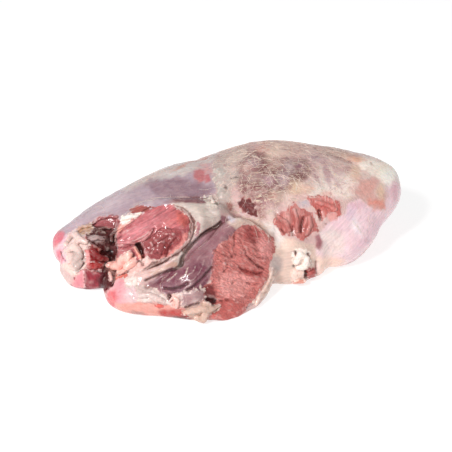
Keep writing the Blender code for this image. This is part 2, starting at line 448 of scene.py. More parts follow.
    Patch("torn lip", FAT, (238, 178, 166), 1.2, 1.5, ((172, 295), (177, 297), (182, 302), (180, 308),
        (173, 307), (171, 301))),
    Patch("torn flap", FAT, (206, 170, 154), 1.2, 1, ((181, 313), (188, 307), (199, 305), (204, 300),
        (208, 302), (213, 305), (219, 304), (221, 307), (216, 311), (211, 314), (208, 316), (207, 322),
        (203, 324), (196, 323), (189, 318))),
    # The left end
    Patch("tip", SHEATH, (210, 104, 120), 4, 1.5, ((50, 240), (52, 233), (58, 230), (64, 232), (64, 240),
        (58, 244), (54, 248))),
    Patch("tip membrane", SHEATH, (232, 186, 196), 3, 2, ((60, 244), (66, 234), (70, 236), (66, 252),
        (70, 264), (62, 264), (56, 262), (54, 250))),
    Patch("tip streak", SHEATH, (218, 124, 140), 3, 2, ((56, 250), (60, 249), (63, 258), (62, 264),
        (57, 262))),
    Patch("left peach", SHEATH, (236, 196, 186), 3, 2, ((60, 264), (66, 262), (74, 270), (72, 276),
        (64, 272))),
    # painted shade in the cavity between the left lobes, over the maroon of the lean there
    Patch("hollow_shade", LEAN, (98, 46, 46), 2, 1, ((84, 226), (92, 222), (106, 220), (118, 226), (116, 240),
        (118, 250), (116, 258), (106, 262), (98, 250), (88, 244))),
    Patch("maroon flap", LEAN, (164, 86, 90), 1.5, 1, ((91, 225), (99, 218), (108, 215), (117, 215),
        (121, 220), (119, 227), (113, 229), (103, 226), (95, 226))),
    Patch("tan", FAT, (188, 146, 118), 2, 1, ((76, 232), (77, 226), (84, 224), (92, 224), (93, 229),
        (88, 233), (80, 234))),
    Patch("grey tissue", SHEATH, (160, 132, 132), 2, 1, ((86, 237), (94, 234), (103, 236), (105, 241),
        (98, 243), (90, 241)), lift=1.0, round_off=3),
    # painted shade: the black of the deep cavity by the hock
    Patch("black hollow", LEAN, (22, 8, 10), 1.5, 0.5, ((103, 250), (108, 248), (113, 250), (113, 259),
        (106, 257))),
    Patch("chunk", LEAN, (132, 16, 22), 2, 1, ((88, 246), (94, 243), (100, 247), (106, 254), (110, 260),
        (104, 263), (95, 263), (88, 262))),
    Patch("chunk light", LEAN, (196, 116, 106), 1.5, 1, ((97, 246), (101, 246), (104, 251), (100, 252))),
    Patch("chunk low", LEAN, (176, 46, 46), 1.5, 1, ((86, 263), (94, 262), (103, 263), (104, 268),
        (96, 271), (87, 270))),
    Patch("chunk edge", LEAN, (232, 150, 148), 1.5, 1, ((86, 251), (89, 250), (90, 262), (88, 268),
        (85, 264))),
    Patch("hock", LEAN, (150, 50, 62), 6, 1, ((70, 288), (73, 280), (77, 273), (82, 268), (87, 268),
        (90, 271), (99, 272), (105, 266), (108, 273), (110, 281), (112, 284), (108, 292), (89, 294),
        (70, 292)), torn=0.0),
    Patch("hock pink", SHEATH, (222, 134, 144), 7, 1, ((70, 290), (74, 279), (80, 270), (84, 270),
        (84, 292))),
    # painted shade where the hock turns into the cavity, over its own dark red
    Patch("hock dark", LEAN, (58, 6, 14), 8, 1, ((102, 268), (107, 268), (110, 281), (108, 287), (100, 290),
        (98, 280)), torn=0.0),
    Patch("white fat left", FAT, (226, 196, 188), 1.5, 1.5, ((64, 250), (65, 239), (68, 233), (75, 229),
        (77, 233), (81, 235), (84, 240), (89, 240), (90, 246), (84, 250), (85, 258), (85, 266), (79, 273),
        (74, 274), (68, 264))),
    Patch("fat left low", FAT, (194, 170, 163), 3, 1.5, ((70, 252), (84, 251), (85, 264), (78, 273),
        (72, 268))),
    # The fat at the foot of the blade
    Patch("fat lumps", FAT, (252, 232, 222), 1.5, 1.5, ((292, 251), (298, 249), (306, 249), (311, 253),
        (312, 264), (306, 270), (300, 272), (294, 268), (292, 260))),
    Patch("fat foot", FAT, (236, 202, 188), 2, 2, ((292, 268), (304, 270), (306, 276), (307, 284),
        (300, 288), (292, 286), (290, 278)), lift=1.2, round_off=4),
    Patch("fat foot red", LEAN, (222, 150, 134), 2, 2, ((293, 281), (304, 279), (306, 286), (298, 288),
        (292, 286))),
    Patch("gap lump", LEAN, (172, 66, 62), 1.2, 1, ((305, 272), (309, 268), (315, 268), (316, 276),
        (312, 279), (306, 278))),
    Patch("mauve spot", SHEATH, (164, 106, 112), 3, 2, ((315, 236), (320, 234), (323, 242), (320, 250),
        (316, 248))),
    Patch("fat fingers", FAT, (214, 200, 188), 1.5, 2, ((200, 198), (206, 196), (213, 195), (214, 200),
        (219, 202), (218, 208), (210, 208), (206, 203))),
    Patch("fat cluster", FAT, (190, 176, 168), 4, 8, ((214, 170), (220, 166), (224, 172), (222, 184),
        (226, 192), (222, 200), (214, 196), (216, 184)), lift=0.8, round_off=5),
)

# Ovals of colour, by area; those so marked are painted shade, painted shadow or painted highlight
TINTS = {
    "shank": (
        Tint((108, 202), (26, 9), -32, (204, 186, 192), 0.6),
        Tint((74, 224), (14, 6), -36, (210, 184, 194), 0.5),
        Tint((176, 172), (26, 4), -22, (204, 196, 194), 0.5),
        Tint((200, 158.5), (14, 2.2), -22, (182, 108, 92), 0.8),
        Tint((180, 167), (9, 1.8), -24, (190, 122, 106), 0.7),
    ),
    "dome": (
        Tint((253, 162), (9, 4.5), 5, (158, 124, 130), 1),
        Tint((268, 180), (6, 6), 0, (172, 136, 142), 0.91),
        Tint((283, 180), (6, 9), -30, (164, 134, 142), 1),
        Tint((289, 168), (8, 7), 0, (164, 140, 142), 0.91),
        Tint((301, 166), (4, 6), -20, (150, 110, 118), 1),
        Tint((290, 150), (14, 6), 5, (204, 170, 158), 0.6),
        Tint((318, 158), (10, 6), 15, (180, 148, 154), 0.91),
        Tint((332, 172), (12, 7), 30, (182, 146, 152), 0.65),
        Tint((252, 176), (12, 6), 0, (178, 150, 146), 0.65),
        Tint((274, 150), (12, 8), 0, (224, 196, 180), 0.91),
        Tint((261, 150), (6, 4), 0, (204, 148, 138), 0.91),
        Tint((267, 142), (5, 1.4), -8, (176, 100, 92), 0.91),
        Tint((238, 154), (12, 7), -20, (202, 178, 168), 0.78),
        Tint((273, 196), (5, 4), 0, (192, 130, 120), 0.65),
        Tint((296, 188), (8, 7), 0, (218, 186, 158), 0.78),
        Tint((282, 196), (10, 7), 0, (204, 178, 164), 0.65),
        Tint((318, 184), (11, 12), 0, (220, 204, 196), 0.65),
        Tint((305, 204), (5, 4), 0, (186, 172, 180), 0.91),
        Tint((326, 194), (7, 3), 0, (222, 168, 156), 0.78),
        Tint((270, 212), (5, 5), 0, (200, 178, 168), 0.78),
        Tint((232, 219), (4, 4), 0, (216, 204, 212), 0.91),
        Tint((316, 176), (2.2, 10), -28, (172, 136, 142), 0.8),
        Tint((327, 178), (2.4, 10), -30, (178, 140, 148), 0.7),
        Tint((338, 182), (2.4, 9), -32, (186, 152, 156), 0.6),
        Tint((322, 172), (2, 9), -28, (232, 214, 200), 0.7),
        Tint((333, 172), (2, 9), -30, (234, 214, 202), 0.7),
        Tint((246, 168), (8, 5), 20, (192, 152, 146), 0.7),
        Tint((258, 192), (9, 5), 10, (150, 104, 102), 0.8),
        Tint((276, 164), (7, 5), 0, (192, 156, 146), 0.6),
        Tint((230, 168), (7, 6), 0, (196, 172, 166), 0.6),
        Tint((308, 188), (7, 4), 0, (222, 180, 158), 0.6),
    ),
    "upper right": (
        Tint((336, 152), (22, 4.5), 15, (194, 168, 156), 0.8),
        Tint((349, 155), (9, 3), 18, (198, 152, 138), 0.7),
        Tint((356, 159), (8, 3.2), 14, (232, 172, 142), 0.8),
        Tint((371, 164), (1.6, 1), 20, (160, 124, 104), 0.7),
        Tint((388, 170), (11, 10), 40, (250, 234, 216), 0.8),
        Tint((372, 172), (9, 5), 20, (232, 218, 206), 0.6),
        Tint((355, 172), (6, 8), 0, (236, 196, 168), 0.7),
        Tint((382, 192), (4, 9), 0, (226, 190, 158), 0.7),
        Tint((391, 177), (10, 10), 0, (255, 248, 238), 1),
        Tint((395, 190), (4, 12), 8, (222, 172, 184), 0.8),
    ),
    "right lobe": (
        Tint((357, 206), (9, 4), 0, (222, 176, 188), 0.7),
        Tint((350, 214), (5, 8), 0, (206, 178, 196), 0.5),
        Tint((336, 226), (10, 5), -10, (232, 194, 202), 0.6),
        # painted highlight on the right lobe
        Tint((356, 226), (5, 9), -30, (246, 234, 238), 0.7),
        Tint((362, 244), (12, 4), -40, (228, 184, 198), 0.6),
        Tint((378, 226), (12, 5), -50, (232, 188, 202), 0.5),
    ),
    "bare lean": (
        Tint((287, 217), (3, 8), -10, (226, 174, 166), 0.6),
        Tint((297, 211), (4, 6), 0, (220, 168, 162), 0.6),
        Tint((312, 224), (2.5, 7), 8, (216, 152, 146), 0.5),
        Tint((326, 199.5), (12, 2.5), 5, (222, 152, 146), 0.6),
        Tint((334, 209), (5, 4), 0, (214, 136, 128), 0.5),
        Tint((262, 246), (7, 9), -20, (228, 158, 152), 0.5),
        Tint((228, 262), (10, 5), -30, (214, 132, 126), 0.5),
        Tint((246, 292), (10, 6), -30, (216, 134, 126), 0.5),
        Tint((170, 222), (9, 5), -35, (214, 124, 122), 0.5),
    ),
    "nub": (
        # painted shade on the left of the nub
        Tint((276, 266), (5, 8), 0, (190, 172, 168), 0.5),
        Tint((286, 246), (8, 6), 0, (240, 214, 198), 0.6),
        Tint((290, 243), (6, 5), 0, (240, 196, 180), 0.5),
    ),
    "front": (
        Tint((200, 242), (12, 7), -42, (192, 150, 160), 0.5),
        Tint((212, 262), (3, 14), 0, (160, 112, 124), 0.4),
        # painted shadow along the foot of the front, by the floor
        Tint((179, 318), (11, 1.8), 3, (64, 20, 20), 0.9),
        Tint((138, 313), (8, 2), 10, (150, 110, 108), 0.7),
        Tint((176, 288), (10, 3), 15, (112, 74, 88), 0.7),
    ),
    "roll": (
        Tint((140, 230), (24, 6), -32, (226, 150, 156), 0.5),
        Tint((167, 248), (3, 9), 25, (148, 48, 48), 0.7),
        Tint((178, 240), (7, 3), 0, (164, 66, 66), 0.6),
        # painted highlight along the ridge of the peach nub
        Tint((127.5, 260), (1.8, 7), 5, (252, 230, 214), 0.8),
        Tint((200, 212), (10, 5), 20, (206, 192, 180), 0.5),
    ),
}

# Creases, darkened mostly with painted shade, and pale threads, by area; under contour, where the piece
# bulges less than the solid
STROKES = {
    "crease under the outer membrane": (
        Stroke(1.5, 3, 0.95, ((221, 222), (216, 227), (207, 231.5), (200, 237), (193, 243), (187.5, 249),
            (183, 256), (181, 264))),
        Stroke(1.4, 2, 0.75, ((181, 264), (175, 269), (166, 271.5), (155, 276), (146, 280))),
        Stroke(1.2, 0.8, 0.4, ((201, 215), (209, 217), (216, 220))),
        Stroke(1.2, 0.6, 0.3, ((206, 208), (213, 214), (217, 219))),
    ),
    "roll": (
        Stroke(1.3, 1.4, 0.67, ((131, 245), (137, 242), (143.6, 240), (151, 234), (154.5, 228))),
        Stroke(1.2, -1.2, 0.35, ((129, 243), (136, 240), (142, 237.5), (149, 232))),
        Stroke(1.8, 4, 0.78, ((137, 244), (140, 247), (141.5, 252), (143, 256))),
        Stroke(1.1, 1.2, 0.67, ((119.5, 233), (126, 228), (133, 224))),
        Stroke(1.1, 1, 0.61, ((112, 244), (115, 240), (121, 236))),
        Stroke(1.2, 1.2, 0.6, ((116, 248), (124, 248), (130, 246))),
        Stroke(1.2, 1.2, 0.67, ((166, 256), (168, 248), (172, 242), (176, 238))),
        Stroke(1, 1, 0.6, ((150, 252), (154, 246), (160, 240), (168, 236))),
        Stroke(1, 0.8, 0.6, ((160, 258), (162, 252), (164, 247))),
        Stroke(1, 0.8, 0.5, ((154, 240), (156, 248), (158, 254))),
        Stroke(0.9, -0.6, 0.5, ((150, 240), (153, 247), (152, 253))),
        Stroke(0.9, -0.5, 0.5, ((160, 232), (166, 234), (174, 234))),
        Stroke(1.3, 1.6, 0.67, ((134, 258), (140, 261), (143, 264))),
        Stroke(1.1, 0.9, 0.6, ((147, 268.5), (154, 265), (160, 263), (168, 259))),
        Stroke(1.1, 1.4, 0.72, ((117, 275), (122, 273), (127, 271))),
        Stroke(1.1, 0.8, 0.3, ((119, 258), (121, 264), (118, 270))),
        Stroke(1, 1, 0.61, ((187, 212), (190, 218), (191.5, 225), (190, 232))),
    ),
    "big cut": (
        Stroke(1.1, 0.8, 0.67, ((235.7, 231), (234.8, 238), (234, 246))),
        Stroke(0.9, 0.5, 0.6, ((228, 236), (228, 242), (230, 248))),
        Stroke(1.1, 0.8, 0.67, ((214, 249), (221, 253), (230, 258))),
        Stroke(1.1, 0.8, 0.67, ((224, 244), (228.6, 249), (233, 257))),
        Stroke(0.8, 0.5, 0.6, ((218, 246), (224, 251), (228, 256))),
        Stroke(1.4, 1.2, 0.78, ((244.6, 249), (246.4, 256), (255.4, 263.5), (264, 268.5))),
        Stroke(1.7, 1.2, 0.72, ((239, 268), (248, 270.5), (257, 274), (262, 272.5))),
        Stroke(1, 0.7, 0.61, ((224, 272.5), (227.7, 268), (226.8, 264))),
        Stroke(1, 0.7, 0.6, ((230, 287), (235.7, 280.5), (243, 277))),
        Stroke(0.9, 0.7, 0.61, ((251, 247), (258, 251), (265, 253))),
        Stroke(0.9, 0.5, 0.6, ((254, 241), (262, 245), (270, 247))),
        Stroke(0.9, 0.5, 0.6, ((249, 252), (257, 257), (266, 259))),
        Stroke(1, 0.7, 0.6, ((240, 240), (243, 247), (241, 255), (244, 262))),
        Stroke(1, 0.7, 0.6, ((219, 262), (225, 260), (233, 262), (240, 266))),
        Stroke(1, 0.6, 0.5, ((216, 270), (220, 278), (219, 287))),
        Stroke(1.1, 0.7, 0.6, ((247, 283), (253, 285), (259, 283))),
        Stroke(1, 0.7, 0.6, ((232, 297), (240, 299), (247, 296))),
        Stroke(1.1, 0.8, 0.6, ((213, 303), (224, 300), (236, 301))),
        Stroke(1.2, 0.7, 0.67, ((256, 303), (251, 305), (246, 308))),
    ),
    "front strip": (
        Stroke(1.5, 1.6, 0.8, ((212.5, 267), (206, 274), (200, 280.5), (192, 287), (187.5, 290))),
        Stroke(1.5, 1.4, 0.8, ((188, 283), (180, 287), (172, 289), (164, 288))),
        Stroke(0.8, -0.3, 0.35, ((214, 240), (205, 251), (197, 260))),
        Stroke(0.8, -0.3, 0.3, ((209, 237), (198, 247), (190, 257))),
        Stroke(0.8, -0.4, 0.6, ((204, 260), (202, 268), (197, 275))),
        Stroke(0.8, -0.4, 0.7, ((196, 266), (193, 272), (187, 276))),
        Stroke(0.9, -0.5, 0.8, ((188, 268), (186, 274), (180, 279))),
        Stroke(0.9, -0.5, 0.8, ((177, 273), (173, 277), (168, 281))),
        Stroke(0.8, -0.4, 0.7, ((170, 272), (166, 277), (162, 280))),
        Stroke(0.8, -0.4, 0.6, ((200, 272), (194, 279), (190, 281))),
    ),
    "front foot": (
        Stroke(1.2, 1.6, 0.9, ((185, 308.5), (192, 305.5), (199, 303.5))),
        Stroke(1.8, 2.6, 1, ((169, 296), (170.5, 299))),
        Stroke(2.4, 4, 1, ((208, 300), (213, 300.5))),
        Stroke(1, 0.8, 0.4, ((136, 303), (150, 303.5), (166, 305))),
        Stroke(1, 0.6, 0.3, ((140, 290), (148, 293), (158, 298))),
        Stroke(1, 0.8, 0.5, ((126, 284), (132, 290), (134, 298))),
        Stroke(0.9, -0.8, 0.8, ((216, 311), (220, 308), (221, 305))),
    ),
    "left end": (
        Stroke(1.5, 2.5, 1, ((93.5, 242.5), (100, 246), (106, 249))),
        Stroke(2.4, 5, 1, ((104, 252), (109, 253), (112, 257), (113, 265), (112, 276), (110, 284))),
        Stroke(3, 2, 1, ((107, 262), (108, 270), (107, 280), (105, 287))),
        Stroke(1, 1, 0.7, ((60.5, 252), (62, 257), (65, 261))),
        Stroke(1.4, 1.4, 0.6, ((73, 250.5), (77, 250), (81, 248.8))),
        Stroke(1.1, 1.2, 0.8, ((80, 267.5), (84, 264))),
        Stroke(0.8, -0.6, 0.5, ((88, 262), (95, 261.5), (103, 262.3))),
        Stroke(1, 1, 0.8, ((92, 226), (96, 221), (101, 218))),
        Stroke(0.8, 0.6, 0.6, ((81, 224.8), (87, 224), (93, 223.6))),
        Stroke(0.8, -0.6, 0.7, ((95, 230), (103, 227.5), (113, 227.5))),
        Stroke(0.9, -0.6, 0.8, ((96, 232.5), (100, 230), (105, 233))),
        Stroke(0.7, -0.5, 0.5, ((98, 235), (106, 231), (114, 231))),
        Stroke(1.2, 1.5, 0.9, ((88, 234.5), (96, 233), (104, 235))),
        Stroke(1, -0.4, 0.5, ((84.5, 271), (85.5, 279), (84.5, 288))),
        Stroke(1.2, 1.2, 0.5, ((76.7, 273.5), (82, 268.5), (88, 267.5))),
        Stroke(1.2, 1.2, 0.7, ((95, 270), (101, 272), (104, 268))),
        Stroke(1.6, 0.6, 0.8, ((78, 289.5), (92, 291), (106, 288.5))),
    ),
    "lobes of the bare lean": (
        Stroke(1.2, 2, 0.7, ((293, 226), (293, 230), (293, 235))),
        Stroke(1.6, 2.2, 0.7, ((304, 217), (302, 224), (301, 232))),
        Stroke(0.9, -0.6, 0.6, ((299.8, 219), (300, 226), (301, 232))),
        Stroke(1.1, 1, 0.6, ((275.5, 213), (276, 219))),
        Stroke(1.2, 1.2, 0.6, ((281, 230), (284, 234))),
        Stroke(1.9, 2.4, 0.75, ((319, 210.5), (320.5, 215), (321, 219))),
        Stroke(1, -0.5, 0.6, ((314, 208), (316.5, 213), (317, 219))),
        Stroke(1, 0.6, 0.7, ((325.8, 223), (326.2, 223.6))),
        Stroke(1, 0.8, 0.4, ((284, 214), (288, 220), (287, 228))),
        Stroke(0.9, 0.8, 0.4, ((310, 218), (312, 225), (310, 231))),
    ),
    "fat at the foot of the blade": (
        Stroke(1.2, 1.8, 1, ((295.6, 252), (296.4, 254.5))),
        Stroke(1.2, 1.8, 1, ((308.4, 253.5), (309.6, 256))),
        Stroke(1.1, 1.2, 0.9, ((293.5, 266), (295, 266.6))),
        Stroke(1, 1, 0.3, ((300, 262), (303, 266), (302, 270))),
        Stroke(1.5, 3, 1, ((304.6, 269), (306, 273), (306, 278))),
        Stroke(1.3, 1.8, 0.6, ((316, 262), (316.5, 268), (317, 276))),
    ),
    "dome and right side": (
        Stroke(1, 0.9, 0.7, ((231, 178), (236, 177), (240, 177.4))),
        Stroke(1.5, 1.2, 0.7, ((224.5, 186), (226, 187.5))),
        Stroke(1.2, 0.8, 0.5, ((216, 172), (217, 175))),
        Stroke(1, 0.6, 0.5, ((242, 165), (247, 164))),
        Stroke(0.9, -0.4, 1, ((253, 156), (257, 157.5), (261, 160))),
        Stroke(0.7, -0.3, 0.8, ((247, 160), (252, 162))),
        Stroke(0.7, -0.3, 0.9, ((269, 170), (275, 178), (281, 186.5))),
        Stroke(0.7, -0.3, 0.8, ((299, 162), (303, 165), (307, 168))),
        Stroke(0.6, -0.2, 0.6, ((262, 158), (270, 162), (277, 170))),
        Stroke(0.6, -0.2, 0.6, ((258, 172), (266, 176), (272, 184))),
        Stroke(0.7, -0.3, 0.9, ((293, 178), (297, 184), (296, 192))),
        Stroke(0.7, -0.3, 0.7, ((300, 178), (298, 186), (301, 193))),
        Stroke(0.7, -0.2, 0.7, ((309, 172), (311, 180), (309, 190))),
        Stroke(0.7, -0.2, 0.6, ((318, 170), (320, 178), (323, 186))),
        Stroke(1.6, 1.2, 0.5, ((316.9, 148.4), (332, 152.8), (340.7, 157), (351.6, 162))),
        Stroke(0.8, -0.3, 0.6, ((347, 206), (351.6, 201.6), (360, 199.4), (367, 204), (373, 209),
            (384, 210))),
        Stroke(1.3, -0.3, 0.8, ((352, 221), (356, 226), (360, 232))),
        Stroke(0.9, -0.2, 0.6, ((357, 220), (362, 227))),
        Stroke(0.9, -0.2, 0.6, ((349.5, 235), (350.5, 241))),
        Stroke(0.7, -0.2, 0.7, ((369, 186), (376, 194), (380, 200))),
        Stroke(0.7, -0.2, 0.6, ((366, 178), (373, 186), (378, 196))),
        Stroke(0.8, -0.2, 0.6, ((354, 176), (356, 184), (354, 192))),
    ),
    "contour": (
        Stroke(6, 3, 0, ((52, 262), (58, 270), (64, 276))),
        Stroke(6, 2, 0, ((344, 266), (356, 258), (366, 250))),
    ),
}

GRAINS = (
    Grain(Lay.STRAIGHT, ((250, 160), (300, 205)), 0.5, (
          (205, 150), (420, 150), (420, 230), (318, 250), (270, 245), (230, 215), (215, 205))),
    Grain(Lay.STRAIGHT, ((222, 236), (182, 280)), 0.12, (
          (222, 212), (250, 222), (236, 232), (220, 246), (212, 262), (205, 300), (150, 296), (149, 282),
          (184, 255), (213, 228))),
    Grain(Lay.STRAIGHT, ((224, 250), (258, 268)), 0.4, (
          (236, 229), (251, 222), (263, 229), (277, 241), (273, 259), (272, 274), (265, 290), (255, 305),
          (244, 314), (219, 325), (203, 325), (202, 290), (211, 259), (218, 244))),
    Grain(Lay.STRAIGHT, ((122, 242), (172, 212)), 0.12, (
          (106, 245), (110, 230), (134, 216), (158, 202), (180, 204), (192, 216), (186, 230), (154, 234),
          (140, 244), (118, 252))),
    Grain(Lay.ROUND, ((165, 243), (165, 232)), 0.4, (
          (143, 244), (161, 228), (188, 230), (190, 246), (168, 260), (144, 262))),
    Grain(Lay.STRAIGHT, ((335, 262), (385, 205)), 0.12, (
          (320, 280), (314, 262), (318, 245), (322, 232), (346, 208), (366, 204), (383, 207), (396, 176),
          (412, 180), (400, 215), (370, 250), (340, 278))),
    Grain(Lay.STRAIGHT, ((296, 210), (294, 234)), 0.25, (
          (272, 224), (276, 210), (300, 200), (320, 194), (346, 204), (344, 220), (318, 226), (318, 240),
          (300, 242))),
    Grain(Lay.STRAIGHT, ((88, 272), (90, 286)), 0.15, (
          (68, 296), (74, 276), (84, 266), (108, 266), (114, 296))),
    Grain(Lay.STRAIGHT, ((140, 288), (176, 304)), 0.3, (
          (124, 286), (144, 282), (206, 288), (206, 310), (130, 312))),
)

SCRAPS = (
    Scrap("upper nub", ((121, 266, 4.6, 1.5), (124, 259, 5, 3), (130, 254, 4, 2.5))),
    Scrap("lower nub", ((108, 266, 3, 1.5), (114, 267, 4.6, 2.5), (121, 267, 5, 2))),
    Scrap("right nub", ((127, 268, 4, 1), (134, 263, 4.2, 1.5), (137, 258, 3, 1))),
    Scrap("drip", ((110, 274, 2.2, 1), (111, 280, 2.6, 1.5))),
    Scrap("roll lip", ((111, 241, 2.2, 1), (111, 236, 2.4, 1), (117, 230, 1.8, 1), (125, 225, 1.6, 0.8),
        (133, 220.5, 1.3, 0.6))),
    Scrap("roll flap edge", ((117, 243, 1.6, 0.6), (131, 242.5, 2, 1), (140, 241, 1.9, 1),
        (147, 237, 1.7, 0.8), (152, 230, 1.2, 0.4))),
    Scrap("strand", ((134.6, 248, 1.4, 1.5), (138, 254, 1.6, 2), (141, 259.6, 1.8, 1.5))),
    Scrap("bright fat", ((119, 221, 2.6, 1), (125, 218, 3, 1.4), (132, 217, 2.4, 1), (138, 216, 1.6, 0.4))),
    Scrap("outer fat", ((67, 246, 4.2, 1.5), (70, 239, 4.4, 2.5), (76, 235, 3.6, 1.6), (80, 240, 3.8, 2),
        (86, 243, 3.2, 1.6))),
    Scrap("middle fat", ((70, 250, 4.6, 2.4), (77, 247, 4.2, 2.4), (80, 255, 4.4, 2.2), (76, 262, 4.4, 2))),
    Scrap("lower fat", ((70, 266, 3.4, 1), (76, 268, 3.6, 1.4), (81, 262, 3.4, 1.4))),
    Scrap("maroon flap", ((94, 223, 1.8, 0.8), (101, 219, 2.4, 1.6), (109, 217, 2.4, 1.8),
        (117, 217, 2, 1))),
    Scrap("grey shred", ((92, 229, 1.1, 1.5), (100, 231, 1.3, 2.5), (110, 229, 1.2, 2))),
    Scrap("tan shred", ((78, 231, 1.8, 0.8), (83, 227, 2, 1.2), (91, 226.5, 1.6, 1))),
    Scrap("membrane shred", ((89, 240, 1.4, 1.5), (97, 239, 2, 2.5), (103, 240, 1.4, 1.5))),
    Scrap("red chunk", ((90, 249, 3.2, 1), (94, 254, 3.8, 1.6), (100, 258, 3.4, 1.4),
        (106, 259, 2.6, 0.8))),
    Scrap("low chunk", ((88, 267, 2.6, 0.8), (95, 266, 3.2, 1.2), (101, 266, 2.8, 0.8))),
    Scrap("rim", ((172, 205.5, 1.2, 0.3), (183, 209, 1.5, 0.8), (190, 215.5, 1.6, 1),
        (193.5, 224, 1.7, 1.1), (192.5, 233, 1.7, 1.1), (188, 243, 1.6, 1), (179, 252, 1.6, 1),
        (166, 259.5, 1.5, 0.9), (152, 266.5, 1.4, 0.8), (140, 271.5, 1.2, 0.4))),
    Scrap("torn flap", ((184, 313, 3, 0.4), (192, 310, 3.4, 1.4), (201, 308, 4.2, 2.2),
        (210, 308.5, 3.2, 2), (219.5, 306, 1.3, 1.4))),
    Scrap("torn flap foot", ((197, 317, 3.6, 1.4), (203, 319, 3.4, 1.6), (205, 312, 3.6, 2))),
    Scrap("torn flap top", ((203, 302, 1.6, 1.6), (208, 304, 2.2, 2))),
    Scrap("torn lip", ((169.5, 301.5, 1.2, 0.8), (174, 297, 1.4, 1.2), (178, 300, 2.4, 1.2),
        (177, 306, 2.6, 0.8))),
    Scrap("front fat", ((140, 296, 2.8, 0.6), (148, 295, 3.2, 1), (157, 298, 3.6, 1.4),
        (164, 301, 2.6, 0.6))),
    Scrap("fat fingers", ((201, 198.4, 1.2, 0.6), (211.6, 196, 1.4, 0.8), (212.5, 203, 2.4, 1.2),
        (218, 204, 1.6, 0.6))),
    Scrap("blade fat", ((296, 262, 3.2, 1), (300, 254, 3.4, 1.4), (306, 258, 3.2, 1.4),
        (305, 266, 3.4, 1.4), (298, 268, 3, 1))),
    Scrap("blade foot", ((296, 281, 2.8, 0.6), (303, 280, 3, 1))),
    Scrap("gap lump", ((309, 273, 3, 1), (313, 272, 3, 1))),
    Scrap("cut shreds", ((272.5, 268, 1.6, 0.6), (270, 278, 2, 1), (265, 288, 2, 1), (259, 297, 2.2, 1),
        (256, 304, 1.6, 0.4))),
    Scrap("left bundle", ((279, 217, 2.4, 0.4), (285, 222, 3.4, 0.8), (289, 230, 2.6, 0.6))),
    Scrap("middle bundle", ((294, 210, 2.6, 0.4), (297, 220, 3.2, 0.8), (297, 231, 2.4, 0.6))),
    Scrap("right bundle", ((309, 217, 2.4, 0.4), (310, 225, 3.2, 0.8), (306, 234, 2.2, 0.6))),
    Scrap("trimmed bundle", ((316, 202, 2.4, 0.4), (327, 205, 3.4, 0.8), (335, 209, 2.8, 0.6))),
)

# The milky dome, with its threads
DOME = ((214, 158), (250, 138), (300, 140), (345, 150), (356, 170), (350, 200), (320, 196), (300, 200),
        (275, 206), (268, 240), (240, 222), (228, 214), (236, 190), (224, 168))

RELIEFS = {
    "folds": Relief(Cloud(15 * MM, 21.0), 0.5, 1.1, 0.7),
    "lumps": Relief(Cloud(7 * MM, 11.0), 0.3, 0.8, 0.5),
    "small lumps": Relief(Cloud(3.2 * MM, 4.0), 0.1, 0.5, 0.2),
    "bundles": Relief(Cloud(4.2 * MM, 9.0), 0.0, 0.0, 0.12, 0.72, fibrous=True, ridge=(0.35, 2.2)),
    "fibres": Relief(Cloud(2.2 * MM, 2.0), 0.05, 0.0, 0.4, fibrous=True),
}


def linear(colour: Colour) -> np.ndarray:
    """A screen colour from 0 to 255 as linear light, by the sRGB curve."""
    part = np.array(colour, float) / 255
    return np.where(part <= 0.04045, part / 12.92, ((part + 0.055) / 1.055) ** 2.4)


def smooth(values: np.ndarray) -> np.ndarray:
    """Values held between 0 and 1, eased at both ends."""
    held = np.clip(values, 0, 1)
    return held * held * (3 - 2 * held)


def across_border(inside: np.ndarray, width: float) -> np.ndarray:
    """Distances inside a border as a share that rises smoothly from 0 to 1 across its width."""
    return smooth(inside / width + 0.5)


def close_to(points: np.ndarray, line: Line, margin: float) -> np.ndarray:
    """Which pixels are in the box round a line, or up to a margin from it."""
    low, high = np.min(line, axis=0) - margin, np.max(line, axis=0) + margin
    return ((points > low) & (points < high)).all(axis=1)


def distance_to(points: np.ndarray, line: Line) -> np.ndarray:
    """How far each pixel is from a line of straight steps.

    Args:
        points: pixels, one a row.
        line: the corners of the line.

    Returns:
        The distances, in pixels.
    """
    nearest = np.full(len(points), np.inf)
    for start, end in zip(np.array(line[:-1], float), np.array(line[1:], float)):
        step = end - start
        share = np.clip((points - start) @ step / max(step @ step, 1e-9), 0, 1)
        nearest = np.minimum(nearest, np.linalg.norm(points - start - share[:, None] * step, axis=1))
    return nearest


def inside_by(pixels: np.ndarray, outline: Line, far: float = 12.0) -> np.ndarray:
    """How far each pixel is inside a closed outline, or outside it where negative.

    Args:
        pixels: pixels, one a row.
        outline: the outline's corners.
        far: the greatest distance outside that is still told.

    Returns:
        The distances, in pixels.
    """
    closed = (*outline, outline[0])
    close = close_to(pixels, outline, far)
    points = pixels[close]
    inside = np.zeros(len(points), bool)
    x, y = points[:, 0], points[:, 1]
    for (x0, y0), (x1, y1) in zip(closed[:-1], closed[1:]):
        if y0 != y1:
            crosses = (y0 > y) != (y1 > y)
            inside ^= crosses & (x < (x1 - x0) * (y - y0) / (y1 - y0) + x0)
    away = distance_to(points, closed)
    result = np.full(len(pixels), -far)
    result[close] = np.maximum(np.where(inside, away, -away), -far)
    return result


def squeezed(points: np.ndarray, run: np.ndarray, squeeze: float) -> np.ndarray:
    """Places pressed together along a direction, to a share of their distances."""
    return points + np.outer(points @ run, run) * (squeeze - 1)


def tree_of(piece: bpy.types.Object) -> BVHTree:
    """A piece's faces, to cast rays at."""
    places = [vertex.co for vertex in piece.data.vertices]
    return BVHTree.FromPolygons(places, [tuple(face.vertices) for face in piece.data.polygons])


